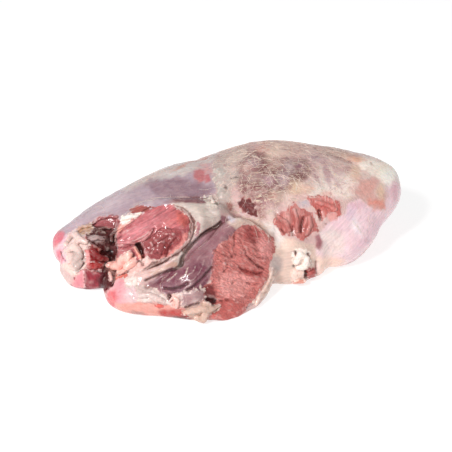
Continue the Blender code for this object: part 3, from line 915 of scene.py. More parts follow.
class Skin:
    """The surface of a piece while it is worked on: its points, and what they are made of.

    Depths and heights are in metres, the border between two tissues in pixels.
    """

    hidden_from: float = 5 * MM
    hidden_over: float = 9 * MM
    foot: float = 4 * MM
    border: float = 3.0

    def __init__(self, piece: bpy.types.Object, view: PhotoView) -> None:
        """Reads the piece's points.

        Args:
            piece: the mesh object to work on.
            view: the camera of the photograph.
        """
        self.piece = piece
        self.view = view
        self.points = self.read("co")
        self.normals = self.read("normal")
        self.pixels = view.project(self.points)
        self.seen = self.look()
        self.marks: dict[str, np.ndarray] = {}
        self.tints: dict[Tissue, np.ndarray] = {}

    def read(self, name: str) -> np.ndarray:
        """Reads a value of the points.

        Args:
            name: "co" for their places, "normal" for their normals.

        Returns:
            The values, one a row.
        """
        vertices = self.piece.data.vertices
        values = np.empty(len(vertices) * 3, np.float32)
        vertices.foreach_get(name, values)
        return values.reshape(-1, 3).astype(float)

    def look(self) -> np.ndarray:
        """Finds how well the points show in the photograph.

        Returns:
            For each, from 0 to 1.
        """
        tree = tree_of(self.piece)
        eye = self.view.place()
        hidden_by = np.empty(len(self.points))
        for i, point in enumerate(self.points.tolist()):
            way = Vector(point) - eye
            hit = tree.ray_cast(eye, way.normalized())
            hidden_by[i] = way.length - hit[3] if hit[0] else 0
        return 1 - smooth((hidden_by - self.hidden_from) / self.hidden_over)

    def share(self, tissue: Tissue) -> np.ndarray:
        """How far each point is made of a tissue, from 0 to 1."""
        return across_border(self.marks[tissue.value], self.border)

    def draw_to(self, tissue: Tissue, colour: Colour, share: np.ndarray) -> None:
        """Draws a tissue's colour towards another, by a share at each point."""
        self.tints[tissue] += (linear(colour) - self.tints[tissue]) * share[:, None]

    def move(self, amount: np.ndarray) -> None:
        """Moves each point outwards, less near the underside.

        Args:
            amount: how far, in mm.
        """
        above = np.clip(self.points[:, 2] / self.foot, 0, 1)
        self.points += self.normals * (amount * above * MM)[:, None]
        self.points[:, 2] = np.maximum(self.points[:, 2], 0)

    def hollows(self, rounds: int) -> np.ndarray:
        """How far each point lies below those around it.

        Args:
            rounds: how many rings of points count.

        Returns:
            The depths, in mm; negative on ridges.
        """
        pairs = np.empty(len(self.piece.data.edges) * 2, np.int32)
        self.piece.data.edges.foreach_get("vertices", pairs)
        ends = (pairs[::2], pairs[1::2])
        count = np.maximum(np.bincount(pairs, minlength=len(self.points)), 1)
        near = self.points
        for _ in range(rounds):
            near = np.stack([
                np.bincount(ends[0], near[ends[1], axis], len(near))
                + np.bincount(ends[1], near[ends[0], axis], len(near))
                for axis in range(3)
            ], 1) / count[:, None]
        return np.einsum("ij,ij->i", near - self.points, self.normals) / MM

    def settle(self) -> None:
        """Gives the mesh its new places, and finds its normals again."""
        self.piece.data.vertices.foreach_set("co", self.points.astype(np.float32).ravel())
        self.piece.data.update()
        self.points = self.read("co")
        self.normals = self.read("normal")

    def store_marks(self) -> None:
        """Writes what the points are made of, and where shade and highlight are painted, to the mesh, for the
        finish to read.
        """
        data = self.piece.data
        for name in ("lean", "fat", "veil", "torn", "crease", "thread", "hollow_shade"):
            mark = data.attributes.new(name, "FLOAT", "POINT")
            mark.data.foreach_set("value", self.marks[name].astype(np.float32))
        grain = data.attributes.new("grain", "FLOAT_VECTOR", "POINT")
        grain.data.foreach_set("vector", self.marks["grain"].astype(np.float32).ravel())
        for tissue, tint in self.tints.items():
            colours = np.ones((len(tint), 4), np.float32)
            colours[:, :3] = tint
            mark = data.attributes.new(f"{tissue.value}_tint", "FLOAT_COLOR", "POINT")
            mark.data.foreach_set("color", colours.ravel())


@dataclass(frozen=True)
class Strewn:
    """How the tissues lie where no patch lays them out, in patterns of noise.

    A _from, _below or _over pair is where it starts and how wide or steep the change is; the
    places are in metres.
    """

    mauve: Colour = (168, 136, 142)
    cream: Colour = (208, 182, 173)
    rose: Colour = (226, 190, 196)
    shown: Colour = (212, 174, 169)
    lean: Colour = (190, 112, 108)
    fat: Colour = (216, 194, 182)
    rose_share: float = 0.8
    shown_share: float = 0.75
    rose_from: Span = (0.1, 0.07)
    rose_below: Span = (0.02, 0.05)
    cream_by: Span = (0.9, 0.5)
    veil_by: float = 0.8
    lean_over: Span = (0.9, 16.0)
    fat_over: Span = (0.5, 12.0)
    fine_fat: float = 0.4

    def colour(self, skin: Skin, broad: np.ndarray, middle: np.ndarray) -> None:
        """Gives the tissues their colours.

        Args:
            skin: the surface.
            broad: the broad noise at its points.
            middle: the middle noise.
        """
        share = smooth(0.5 + broad[:, 0] * self.cream_by[0] + middle[:, 0] * self.cream_by[1])[:, None]
        skin.tints = {
            SHEATH: linear(self.mauve) * (1 - share) + linear(self.cream) * share,
            LEAN: np.tile(linear(self.lean), (len(skin.points), 1)),
            FAT: np.tile(linear(self.fat), (len(skin.points), 1)),
        }
        right = smooth((skin.points[:, 0] - self.rose_from[0]) / self.rose_from[1])
        low = 1 - smooth((skin.points[:, 2] - self.rose_below[0]) / self.rose_below[1])
        skin.draw_to(SHEATH, self.rose, right * low * self.rose_share)
        skin.draw_to(SHEATH, self.shown, skin.seen * self.shown_share)

    def borders(self, broad: np.ndarray, middle: np.ndarray, fine: np.ndarray) -> dict[Tissue, np.ndarray]:
        """Where lean and fat lie.

        Args:
            broad: the broad noise at the points.
            middle: the middle noise.
            fine: the fine noise.

        Returns:
            For each tissue, how far the points are inside it.
        """
        lean = (middle[:, 1] + broad[:, 1] - self.lean_over[0]) * self.lean_over[1]
        fat = (middle[:, 2] + fine[:, 2] * self.fine_fat - self.fat_over[0]) * self.fat_over[1]
        return {LEAN: lean, FAT: fat}


@dataclass(frozen=True)
class MeatBody:
    """The whole piece of meat as one skin, and the scraps that stand on it.

    Lengths are in metres, and what a name says of pixels or the frays and drifts is in pixels.
    Where a field has two values, the first is for the body or for anywhere, the second for the
    scraps or for lean; rings and hollows are narrow, then broad.
    """

    coarse: float = 2.7 * MM
    fine: float = 0.75 * MM
    weld: float = 0.01 * MM
    softened: tuple[int, int] = (4, 2)
    eased: int = 3
    refined_from: float = 0.5
    laid_from: float = 0.4
    body_relief: float = 1.0
    scrap_relief: float = 0.35
    broad: Cloud = Cloud(42 * MM, 3.1)
    middle: Cloud = Cloud(17 * MM, 7.7)
    small: Cloud = Cloud(6 * MM, 1.3)
    drift: Cloud = Cloud(9 * MM, 5.5)
    frayed: float = 0.6
    tint_drift: float = 3.0
    drifting: float = 1.2
    stroke_drift: float = 0.5
    reach: float = 3.0
    deepest: float = 9.0
    torn: float = 0.25
    dome_border: float = 12.0
    main_run: Triple = (0.97, 0.1, 0.2)
    main_squeeze: float = 0.12
    turn_length: float = 25 * MM
    # these set the painted shade in the hollows and the painted shadow near the floor, darker on lean
    rings: tuple[int, int] = (6, 36)
    broad_hollow_shade: float = 0.3
    floor_reach: float = 7 * MM
    floor_painted_shadow: Span = (0.25, 0.6)

    def build(self, view: PhotoView) -> bpy.types.Object:
        """Makes the piece, works its surface, and paints what it is made of, with its painted shade and
        highlight.

        Args:
            view: the camera of the photograph.

        Returns:
            The piece.
        """
        mesh = bmesh.new()
        mesh.from_mesh(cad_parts[NODE].data)
        bmesh.ops.remove_doubles(mesh, verts=mesh.verts, dist=self.weld)
        piece = self.grow(mesh, "meat", self.coarse, self.softened[0])
        self.refine(piece, view)
        self.dress(Skin(piece, view), tree_of(piece), STROKES, self.body_relief)
        return piece

    def build_scraps(self, body: bpy.types.Object, view: PhotoView) -> bpy.types.Object:
        """Makes the lumps and shreds that stand on the body, each a run of balls grown together.

        Args:
            body: the finished body.
            view: the camera of the photograph.

        Returns:
            All of them, as one piece.
        """
        tree = tree_of(body)
        mesh = bmesh.new()
        for scrap in SCRAPS:
            for start, end in zip(scrap.trail[:-1], scrap.trail[1:]):
                steps = 2 + int(math.dist(start[:2], end[:2]))
                for step in range(steps + 1):
                    x, y, radius, rise = np.array(start) + (np.array(end) - np.array(start)) * step / steps
                    hit = tree.ray_cast(view.place(), view.ray((x, y)))
                    if hit[0]:
                        move = Matrix.Translation(hit[0] + hit[1] * rise * MM)
                        bmesh.ops.create_icosphere(mesh, subdivisions=2, radius=radius * MM, matrix=move)
        piece = self.grow(mesh, "scraps", self.fine, self.softened[1])
        self.dress(Skin(piece, view), tree, {}, self.scrap_relief)
        return piece

    def dress(self, skin: Skin, ground: BVHTree, strokes: dict[str, tuple[Stroke, ...]],
              rough: float) -> None:
        """Works a surface and paints what it is made of, with its painted shade and highlight.

        Args:
            skin: the surface.
            ground: the body's faces, along which the fibres run.
            strokes: the creases and threads; without any, no patch swells either.
            rough: how strongly the relief is worked, 1 in full.
        """
        self.lay_tissues(skin)
        self.lay_grain(skin, ground)
        self.lay_strokes(skin, strokes)
        self.work_surface(skin, rough)
        skin.store_marks()
        skin.piece.data.shade_smooth()

    def grow(self, mesh: bmesh.types.BMesh, name: str, grid: float, rounds: int) -> bpy.types.Object:
        """Turns closed shapes into one even, smooth skin.

        Args:
            mesh: the shapes; freed here.
            name: the piece's name.
            grid: size of its faces, in metres.
            rounds: how often it is smoothed.

        Returns:
            The piece.
        """
        data = bpy.data.meshes.new(name)
        mesh.to_mesh(data)
        mesh.free()
        piece = bpy.data.objects.new(name, data)
        bpy.context.scene.collection.objects.link(piece)
        even = piece.modifiers.new("even", "REMESH")
        even.mode = "VOXEL"
        even.voxel_size = grid
        soften = piece.modifiers.new("soften", "SMOOTH")
        soften.iterations = rounds
        bpy.context.view_layer.update()
        graph = bpy.context.evaluated_depsgraph_get()
        shaped = bpy.data.meshes.new_from_object(piece.evaluated_get(graph))
        piece.modifiers.clear()
        piece.data = shaped
        piece.data.materials.clear()
        return piece

    def refine(self, piece: bpy.types.Object, view: PhotoView) -> None:
        """Halves the grid where the camera sees it.

        Args:
            piece: the piece.
            view: the camera of the photograph.
        """
        seen = Skin(piece, view).seen
        mesh = bmesh.new()
        mesh.from_mesh(piece.data)
        mesh.verts.ensure_lookup_table()
        well_seen = [seen[vert.index] > self.refined_from for vert in mesh.verts]
        shows = [edge for edge in mesh.edges if all(well_seen[vert.index] for vert in edge.verts)]
        bmesh.ops.subdivide_edges(mesh, edges=shows, cuts=1, use_grid_fill=True)
        for _ in range(self.eased):
            bmesh.ops.smooth_vert(
                mesh, verts=mesh.verts, factor=0.5, use_axis_x=True, use_axis_y=True, use_axis_z=True
            )
        mesh.to_mesh(piece.data)
        mesh.free()

    def lay_tissues(self, skin: Skin) -> None:
        """Lays out sheath, lean and fat over the skin, first where nothing is known, then as seen.

        Args:
            skin: the surface.
        """
        broad, middle, fine = (cloud.at(skin.points) for cloud in (self.broad, self.middle, self.small))
        strewn = Strewn()
        strewn.colour(skin, broad, middle)
        wander = (middle * self.frayed + fine * self.frayed)[:, :2]
        marks = self.lay_patches(skin, wander)
        for tissue, hidden in strewn.borders(broad, middle, fine).items():
            mark = marks[tissue] * skin.seen + hidden * (1 - skin.seen)
            skin.marks[tissue.value] = np.clip(mark, -self.deepest, self.deepest)
        self.lay_tints(skin, wander)
        veil = smooth(0.5 + broad[:, 2] * strewn.veil_by)
        on_dome = across_border(inside_by(skin.pixels, DOME), self.dome_border)
        skin.marks["veil"] = veil * (1 - skin.seen) + on_dome * skin.seen

    def lay_patches(self, skin: Skin, wander: np.ndarray) -> dict[Tissue, np.ndarray]:
        """Lays the patches over each other, with their colours.

        Args:
            skin: the surface.
            wander: how far the borders are bent at each point.

        Returns:
            For lean and fat, how far the points are inside it, in pixels.
        """
        marks = {tissue: np.full(len(skin.points), -self.deepest) for tissue in (LEAN, FAT)}
        torn = np.full(len(skin.points), self.torn)
        for patch in PATCHES:
            inside = inside_by(skin.pixels + wander * patch.ragged, patch.outline)
            for tissue, mark in marks.items():
                if tissue is patch.tissue:
                    np.maximum(mark, inside, out=mark)
                else:
                    np.minimum(mark, -inside, out=mark)
            share = across_border(inside, patch.soft) * skin.seen
            skin.draw_to(patch.tissue, patch.colour, share)
            if patch.tissue is LEAN:
                torn += (patch.torn - torn) * share
        skin.marks["torn"] = torn
        return marks

    def lay_tints(self, skin: Skin, wander: np.ndarray) -> None:
        """Lays the soft ovals of colour over all tissues.

        Args:
            skin: the surface.
            wander: how far the borders are bent at each point.
        """
        for tint in (tint for area in TINTS.values() for tint in area):
            turn = math.radians(tint.turn)
            away = skin.pixels - np.array(tint.at) + wander * self.tint_drift
            along = away @ np.array((math.cos(turn), math.sin(turn))) / tint.reach[0]
            across = away @ np.array((-math.sin(turn), math.cos(turn))) / tint.reach[1]
            share = np.exp(-((along**2 + across**2) ** 1.5)) * tint.strength * skin.seen
            for tissue in Tissue:
                skin.draw_to(tissue, tint.colour, share)

    def lay_grain(self, skin: Skin, ground: BVHTree) -> None:
        """Finds the coordinates along the fibres at each point.

        Args:
            skin: the surface.
            ground: the body's faces.
        """
        main = np.array(self.main_run)
        grain = squeezed(skin.points, main / np.linalg.norm(main), self.main_squeeze)
        eye = skin.view.place()
        for area in GRAINS:
            start, end = (ground.ray_cast(eye, skin.view.ray(pixel)) for pixel in area.line)
            side = np.array((end[0] - start[0]).normalized())
            if area.lay is Lay.STRAIGHT:
                laid = squeezed(skin.points, side, area.squeeze)
            else:
                axis = np.array(start[1])
                side -= axis * (side @ axis)
                side /= np.linalg.norm(side)
                away = skin.points - np.array(start[0])
                u, v, w = away @ side, away @ np.cross(axis, side), away @ axis
                turned = np.arctan2(v, u) * self.turn_length
                laid = np.stack((np.hypot(u, v), turned * area.squeeze, w), 1)
            here = (inside_by(skin.pixels, area.outline) > 0) & (skin.seen > self.laid_from)
            grain[here] = laid[here]
        skin.marks["grain"] = grain

    def lay_strokes(self, skin: Skin, strokes: dict[str, tuple[Stroke, ...]]) -> None:
        """Marks creases, for painted shade, and threads, sinks or raises the surface along them, and swells
        the patches.

        Args:
            skin: the surface.
            strokes: the creases and threads; without any, the surface stays as it is.
        """
        crease = np.full(len(skin.points), -1.0)
        thread = crease.copy()
        skin.marks["crease"], skin.marks["thread"] = crease, thread
        if not strokes:
            return
        drift = (self.drift.at(skin.points) * self.drifting)[:, :2]
        places = skin.pixels + drift * self.stroke_drift
        for stroke in (stroke for area in strokes.values() for stroke in area):
            close = close_to(places, stroke.line, stroke.width * self.reach)
            away = np.full(len(places), self.reach)
            away[close] = distance_to(places[close], stroke.line) / stroke.width
            skin.move(-np.exp(-(away**2)) * skin.seen * stroke.depth)
            mark = crease if stroke.depth > 0 else thread
            line = ((1 - away / (self.reach / 2)) + 1) * stroke.strength * skin.seen - 1
            np.maximum(mark, line, out=mark)
        for patch in PATCHES:
            if patch.lift:
                inside = inside_by(skin.pixels + drift, patch.outline)
                skin.move(smooth(inside / patch.round_off) * skin.seen * patch.lift)
        skin.settle()

    def work_surface(self, skin: Skin, rough: float) -> None:
        """Gives the surface its folds and lumps, and marks its hollows, its ridges and its foot near the
        floor for painted shade and painted highlight.

        Args:
            skin: the surface.
            rough: how strongly, 1 in full.
        """
        lean, fat = skin.share(LEAN), skin.share(FAT)
        torn = skin.marks["torn"] * lean
        heights = {}
        for name, relief in RELIEFS.items():
            height = relief.cloud.at(skin.marks["grain"] if relief.fibrous else skin.points)[:, 0]
            if relief.ridge:
                height = relief.ridge[0] - np.abs(height) * relief.ridge[1]
            amount = relief.base + relief.fat * fat + relief.lean * lean + relief.torn * torn
            heights[name] = height * amount * rough
        for height in heights.values():
            skin.move(height)
        skin.settle()
        # painted shadow near the floor, darker on lean, and painted shade in the hollows; ridges come out
        # below 0, for a painted highlight
        near_floor = 1 - smooth(skin.points[:, 2] / self.floor_reach)
        narrow, broad = (skin.hollows(rings) for rings in self.rings)
        skin.marks["hollow_shade"] = (
            narrow
            + self.broad_hollow_shade * np.maximum(broad, 0)
            + near_floor * (self.floor_painted_shadow[0] + self.floor_painted_shadow[1] * lean)
        )


@dataclass(frozen=True)
class Threads:
    """Fine strands of tissue that lie over the sheath.

    Lengths are in metres. Directions and bends are the middle and the spread of random draws,
    and bare is how near lean or fat keeps them off, in pixels.
    """

    count: int = 480
    thick: float = 0.15 * MM
    raised: float = 0.4
    step: float = 1.6 * MM
    steps: tuple[int, int] = (6, 20)
    seed: int = 11
    run: tuple[Span, Span, Span] = ((0.25, 0.7), (-0.5, 0.6), (-0.2, 0.5))
    bend: Span = (0.09, 0.12)
    bare: float = -1.5
    lowest: float = 12 * MM
    anywhere: float = 0.03
    end: float = 0.15

    def build(self, body: bpy.types.Object) -> bpy.types.Object:
        """Lays the strands over the body.

        Args:
            body: the finished body.

        Returns:
            All of them, as one piece.
        """
        chance = random.Random(self.seed)
        tree = tree_of(body)
        curve = bpy.data.curves.new("threads", "CURVE")
        curve.dimensions = "3D"
        curve.bevel_depth = self.thick
        curve.bevel_resolution = 0
        lean, fat, veil = (body.data.attributes[name].data for name in ("lean", "fat", "veil"))
        laid = 0
        while laid < self.count:
            start = chance.randrange(len(body.data.vertices))
            place = body.data.vertices[start].co
            bare = max(lean[start].value, fat[start].value) > self.bare or place.z < self.lowest
            if bare or chance.random() > self.anywhere + veil[start].value:
                continue
            self.lay(curve, tree, place.copy(), chance)
            laid += 1
        strands = bpy.data.objects.new("threads_laid", curve)
        bpy.context.scene.collection.objects.link(strands)
        bpy.context.view_layer.update()
        graph = bpy.context.evaluated_depsgraph_get()
        piece = bpy.data.objects.new("threads", bpy.data.meshes.new_from_object(strands.evaluated_get(graph)))
        bpy.context.scene.collection.objects.link(piece)
        bpy.data.objects.remove(strands)
        piece.data.shade_smooth()
        return piece

    def lay(self, curve: bpy.types.Curve, tree: BVHTree, place: Vector, chance: random.Random) -> None:
        """Lays one strand, which bends a little as it goes.

        Args:
            curve: takes the strand.
            tree: the body's faces.
            place: where it starts.
            chance: the source of its turns.
        """
        run = Vector([chance.gauss(middle, spread) for middle, spread in self.run])
        bend = chance.gauss(0, self.bend[0])
        trail = []
        for _ in range(chance.randint(*self.steps)):
            place, normal, _, _ = tree.find_nearest(place)
            trail.append(place + normal * self.thick * self.raised)
            run = (run - normal * run.dot(normal)).normalized()
            run.rotate(Quaternion(normal, bend + chance.gauss(0, self.bend[1])))
            place = place + run * self.step
        strand = curve.splines.new("POLY")
        strand.points.add(len(trail) - 1)
        for i, point in enumerate(trail):
            strand.points[i].co = (*point, 1)
            strand.points[i].radius = math.sin(math.pi * (i + 0.6) / (len(trail) + 0.2)) + self.end


@dataclass(frozen=True)
class Texture:
    """Cloudy noise in a finish.

    Attributes:
        scale: its lumps in a metre.
        detail: how many finer layers it has.
        rough: how strong the finer layers are.
        bend_scale: lumps in a metre of the noise that bends it.
        bend: how far it is bent, in metres; 0 is not at all.
    """

    scale: float
    detail: float
    rough: float = 0.55
    bend_scale: float = 0.0
    bend: float = 0.0


def light(colour: Colour) -> tuple[float, float, float, float]:
    """A screen colour for a shader's socket."""
    return (*linear(colour), 1.0)


class Sheet:
    """Adds shader nodes to a material, each linked as it comes."""

    def __init__(self, name: str) -> None:
        """Starts a material.

        Args:
            name: the material's name.
        """
        self.material = bpy.data.materials.new(name)
        self.material.use_nodes = True
        self.tree = self.material.node_tree
        self.shader = self.tree.nodes["Principled BSDF"]

    def put(self, value: object, socket: Socket) -> None:
        """Links an output to a socket, or sets the socket's own value.

        Args:
            value: the output, or the value.
            socket: the input.
        """
        if isinstance(value, Socket):
            self.tree.links.new(value, socket)
        else:
            socket.default_value = value

    def finish(self, **values: object) -> None:
        """Puts values into the shader's inputs, each named with low lines for spaces."""
        for name, value in values.items():
            self.put(value, self.shader.inputs[name.replace("_", " ")])

    def place(self) -> Socket:
        """Object coordinates."""
        return self.tree.nodes.new("ShaderNodeTexCoord").outputs["Object"]

    def mark(self, name: str, kind: str = "Fac") -> Socket:
        """An attribute of the mesh.

        Args:
            name: its name.
            kind: the output that is read.

        Returns:
            The output.
        """
        node = self.tree.nodes.new("ShaderNodeAttribute")
        node.attribute_name = name
        return node.outputs[kind]

    def noise(self, where: Socket, texture: Texture) -> Socket:
        """Cloudy noise.

        Args:
            where: the coordinates.
            texture: its sizes.

        Returns:
            The noise, from 0 to 1.
        """
        node = self.tree.nodes.new("ShaderNodeTexNoise")
        self.put(self.warp(where, texture.bend_scale, texture.bend), node.inputs["Vector"])
        node.inputs["Scale"].default_value = texture.scale
        node.inputs["Detail"].default_value = texture.detail
        node.inputs["Roughness"].default_value = texture.rough
        return node.outputs["Fac"]

    def cells(self, where: Socket, texture: Texture) -> Socket:
        """Irregular cells.

        Args:
            where: the coordinates.
            texture: their sizes.

        Returns:
            The distance to their borders.
        """
        node = self.tree.nodes.new("ShaderNodeTexVoronoi")
        node.feature = "DISTANCE_TO_EDGE"
        self.put(self.warp(where, texture.bend_scale, texture.bend), node.inputs["Vector"])
        node.inputs["Scale"].default_value = texture.scale
        return node.outputs["Distance"]

    def warp(self, where: Socket, scale: float, amount: float) -> Socket:
        """Bends coordinates by cloudy noise.

        Args:
            where: the coordinates.
            scale: the noise's lumps in a metre.
            amount: how far, in metres.

        Returns:
            The bent coordinates.
        """
        if not amount:
            return where
        cloud = self.tree.nodes.new("ShaderNodeTexNoise")
        self.put(where, cloud.inputs["Vector"])
        cloud.inputs["Scale"].default_value = scale
        centred = self.vector("SUBTRACT", cloud.outputs["Color"], (0.5, 0.5, 0.5))
        return self.vector("MULTIPLY_ADD", centred, (amount * 2,) * 3, where)

    def turn(self, where: Socket, angle: float, stretch: Triple) -> Socket:
        """Turns coordinates about the vertical, and stretches them.

        Args:
            where: the coordinates.
            angle: the turn, in degrees.
            stretch: the factor along each axis.

        Returns:
            The new coordinates.
        """
        node = self.tree.nodes.new("ShaderNodeMapping")
        self.put(where, node.inputs["Vector"])
        node.inputs["Rotation"].default_value = (0, 0, math.radians(angle))
        node.inputs["Scale"].default_value = stretch
        return node.outputs["Vector"]

    def vector(self, operation: str, *values: object) -> Socket:
        """One step of arithmetic on coordinates.

        Args:
            operation: Blender's name for it.
            values: what goes in.

        Returns:
            What comes out.
        """
        node = self.tree.nodes.new("ShaderNodeVectorMath")
        node.operation = operation
        for value, socket in zip(values, node.inputs):
            self.put(value, socket)
        return node.outputs[0]

    def reckon(self, operation: str, a: object, b: object) -> Socket:
        """One step of arithmetic.

        Args:
            operation: Blender's name for it.
            a: the first value.
            b: the second value.

        Returns:
            What comes out.
        """
        node = self.tree.nodes.new("ShaderNodeMath")
        node.operation = operation
        self.put(a, node.inputs[0])
        self.put(b, node.inputs[1])
        return node.outputs[0]

    def times(self, a: object, b: object) -> Socket:
        """The product of two values."""
        return self.reckon("MULTIPLY", a, b)

    def plus(self, a: object, b: object) -> Socket:
        """The sum of two values."""
        return self.reckon("ADD", a, b)

    def fit(self, value: Socket, span: Span, to: Span = UNIT) -> Socket:
        """Takes a value smoothly from one range to another.

        Args:
            value: the value.
            span: the range that it is read in.
            to: the range that it gets.

        Returns:
            The new value.
        """
        node = self.tree.nodes.new("ShaderNodeMapRange")
        node.interpolation_type = "SMOOTHSTEP"
        self.put(value, node.inputs["Value"])
        for name, bound in zip(("From Min", "From Max", "To Min", "To Max"), span + to):
            node.inputs[name].default_value = bound
        return node.outputs["Result"]

    def blend(self, share: object, a: object, b: object, kind: str = "MIX") -> Socket:
        """Takes one colour towards another.

        Args:
            share: how far.
            a: the colour at 0.
            b: the colour at 1.
            kind: Blender's name for the mix.

        Returns:
            The new colour.
        """
        node = self.tree.nodes.new("ShaderNodeMix")
        node.data_type = "RGBA"
        node.blend_type = kind
        self.put(share, node.inputs["Factor"])
        self.put(a, node.inputs[6])
        self.put(b, node.inputs[7])
        return node.outputs[2]

    def mix(self, share: Socket, a: Socket, b: Socket) -> Socket:
        """Takes one value towards another.

        Args:
            share: how far.
            a: the value at 0.
            b: the value at 1.

        Returns:
            The new value.
        """
        node = self.tree.nodes.new("ShaderNodeMix")
        node.data_type = "FLOAT"
        self.put(share, node.inputs[0])
        self.put(a, node.inputs[2])
        self.put(b, node.inputs[3])
        return node.outputs[0]

    def shade(self, colour: Socket, amount: object) -> Socket:
        """Makes a colour darker or lighter.

        Args:
            colour: the colour.
            amount: below 1 for darker, above 1 for lighter.

        Returns:
            The new colour.
        """
        node = self.tree.nodes.new("ShaderNodeVectorMath")
        node.operation = "SCALE"
        self.put(colour, node.inputs[0])
        self.put(amount, node.inputs["Scale"])
        return node.outputs[0]

    def bump(self, height: Socket, distance: float, strength: float) -> None:
        """Raises and sinks the surface in the shader.

        Args:
            height: the height.
            distance: how far a height of 1 is, in metres.
            strength: how strong it is.
        """
        node = self.tree.nodes.new("ShaderNodeBump")
        node.inputs["Strength"].default_value = strength
        node.inputs["Distance"].default_value = distance
        self.put(height, node.inputs["Height"])
        self.put(node.outputs["Normal"], self.shader.inputs["Normal"])


@dataclass(frozen=True)
class Sheath:
    """Silverskin: streaks along the muscle, milky patches, and pale threads across it.

    A _span is the range of the noise that counts, a _shade or _share what it becomes, from no
    veil to a full one; the heights are those of streaks, threads and milk.
    """

    streaks: Texture = Texture(520, 6, 0.62)
    streak_span: Span = (0.28, 0.72)
    streak_shade: Span = (0.87, 1.11)
    milk: Texture = Texture(95, 7, 0.68, 60, 8 * MM)
    milk_span: Span = (0.46, 0.66)
    milk_share: Span = (0.12, 0.42)
    bare_span: Span = (0.46, 0.32)
    bare_share: Span = (0.2, 0.72)
    milky: Colour = (234, 206, 197)
    thin: Colour = (156, 110, 114)
    thread: Colour = (234, 210, 188)
    strand: Texture = Texture(640, 2, 0.5)
    strand_span: Span = (0.62, 0.72)
    strand_bend: Span = (45, 7 * MM)
    strand_turns: tuple[float, ...] = (20, 62, 105, 150)
    strand_stretch: Triple = (0.1, 1.0, 0.6)
    strand_share: Span = (0.1, 0.75)
    heights: Triple = (0.25, 0.5, 0.7)

    def lay(self, sheet: Sheet, place: Socket, grain: Socket) -> tuple[Socket, Socket]:
        """Adds its nodes.

        Args:
            sheet: the material's nodes.
            place: the coordinates.
            grain: the coordinates along the fibres.

        Returns:
            Its colour and its height.
        """
        veil = sheet.mark("veil")
        streaks = sheet.noise(grain, self.streaks)
        milk = sheet.noise(place, self.milk)
        silver = sheet.shade(sheet.mark("sheath_tint", "Color"),
                             sheet.fit(streaks, self.streak_span, self.streak_shade))
        milky = sheet.times(sheet.fit(milk, self.milk_span), sheet.fit(veil, UNIT, self.milk_share))
        silver = sheet.blend(milky, silver, light(self.milky))
        bare = sheet.times(sheet.fit(milk, self.bare_span), sheet.fit(veil, UNIT, self.bare_share))
        silver = sheet.blend(bare, silver, light(self.thin))
        share = sheet.times(self.strands(sheet, place), sheet.fit(veil, UNIT, self.strand_share))
        silver = sheet.blend(share, silver, light(self.thread))
        height: object = 0.0
        for layer, rise in zip((streaks, share, milk), self.heights):
            height = sheet.plus(height, sheet.times(layer, rise))
        return silver, height

    def strands(self, sheet: Sheet, place: Socket) -> Socket:
        """Thin threads that cross each other, as stretched noise laid in several directions.

        Args:
            sheet: the material's nodes.
            place: the coordinates.

        Returns:
            Their share, from 0 to 1.
        """
        total: object = 0.0
        bent = sheet.warp(place, *self.strand_bend)
        for angle in self.strand_turns:
            laid = sheet.noise(sheet.turn(bent, angle, self.strand_stretch), self.strand)
            total = sheet.reckon("MAXIMUM", sheet.fit(laid, self.strand_span), total)
        return total


@dataclass(frozen=True)
class Flesh:
    """Lean: fine fibres everywhere, and on torn faces the lumps that they are parted into, with painted shade
    in the furrows between them.

    A _span is the range of the noise that counts, a _shade or _share what it becomes; the
    heights are those of fibres, bands and furrows.
    """

    fibres: Texture = Texture(1100, 5, 0.62, 300, 1.2 * MM)
    fibre_span: Span = (0.25, 0.75)
    fibre_shade: Span = (0.74, 1.22)
    bands: Texture = Texture(330, 4, 0.6, 120, 3 * MM)
    pale_span: Span = (0.54, 0.72)
    pale_share: Span = (0.0, 0.6)
    pale: float = 1.6
    deep_span: Span = (0.46, 0.28)
    deep_share: Span = (0.0, 0.65)
    deep: float = 0.5
    lumps: Texture = Texture(270, 0, bend_scale=150, bend=4.5 * MM)
    # painted shade in the furrows between the lumps
    furrow_span: Span = (0.16, 0.0)
    furrow_shade_share: float = 0.45
    furrow: float = 0.55
    heights: Triple = (0.5, 1.0, -0.9)

    def lay(self, sheet: Sheet, place: Socket, grain: Socket) -> tuple[Socket, Socket]:
        """Adds its nodes.

        Args:
            sheet: the material's nodes.
            place: the coordinates; not used.
            grain: the coordinates along the fibres.

        Returns:
            Its colour and its height.
        """
        tint = sheet.mark("lean_tint", "Color")
        fibres = sheet.noise(grain, self.fibres)
        bands = sheet.noise(grain, self.bands)
        flesh = sheet.shade(tint, sheet.fit(fibres, self.fibre_span, self.fibre_shade))
        flesh = sheet.blend(sheet.fit(bands, self.pale_span, self.pale_share), flesh,
                            sheet.shade(tint, self.pale))
        flesh = sheet.blend(sheet.fit(bands, self.deep_span, self.deep_share), flesh,
                            sheet.shade(tint, self.deep))
        furrow = sheet.times(sheet.fit(sheet.cells(grain, self.lumps), self.furrow_span), sheet.mark("torn"))
        # painted shade in the furrows
        flesh = sheet.blend(sheet.times(furrow, self.furrow_shade_share), flesh, sheet.shade(tint, self.furrow))
        height: object = 0.0
        for layer, rise in zip((fibres, bands, furrow), self.heights):
            height = sheet.plus(height, sheet.times(layer, rise))
        return flesh, height


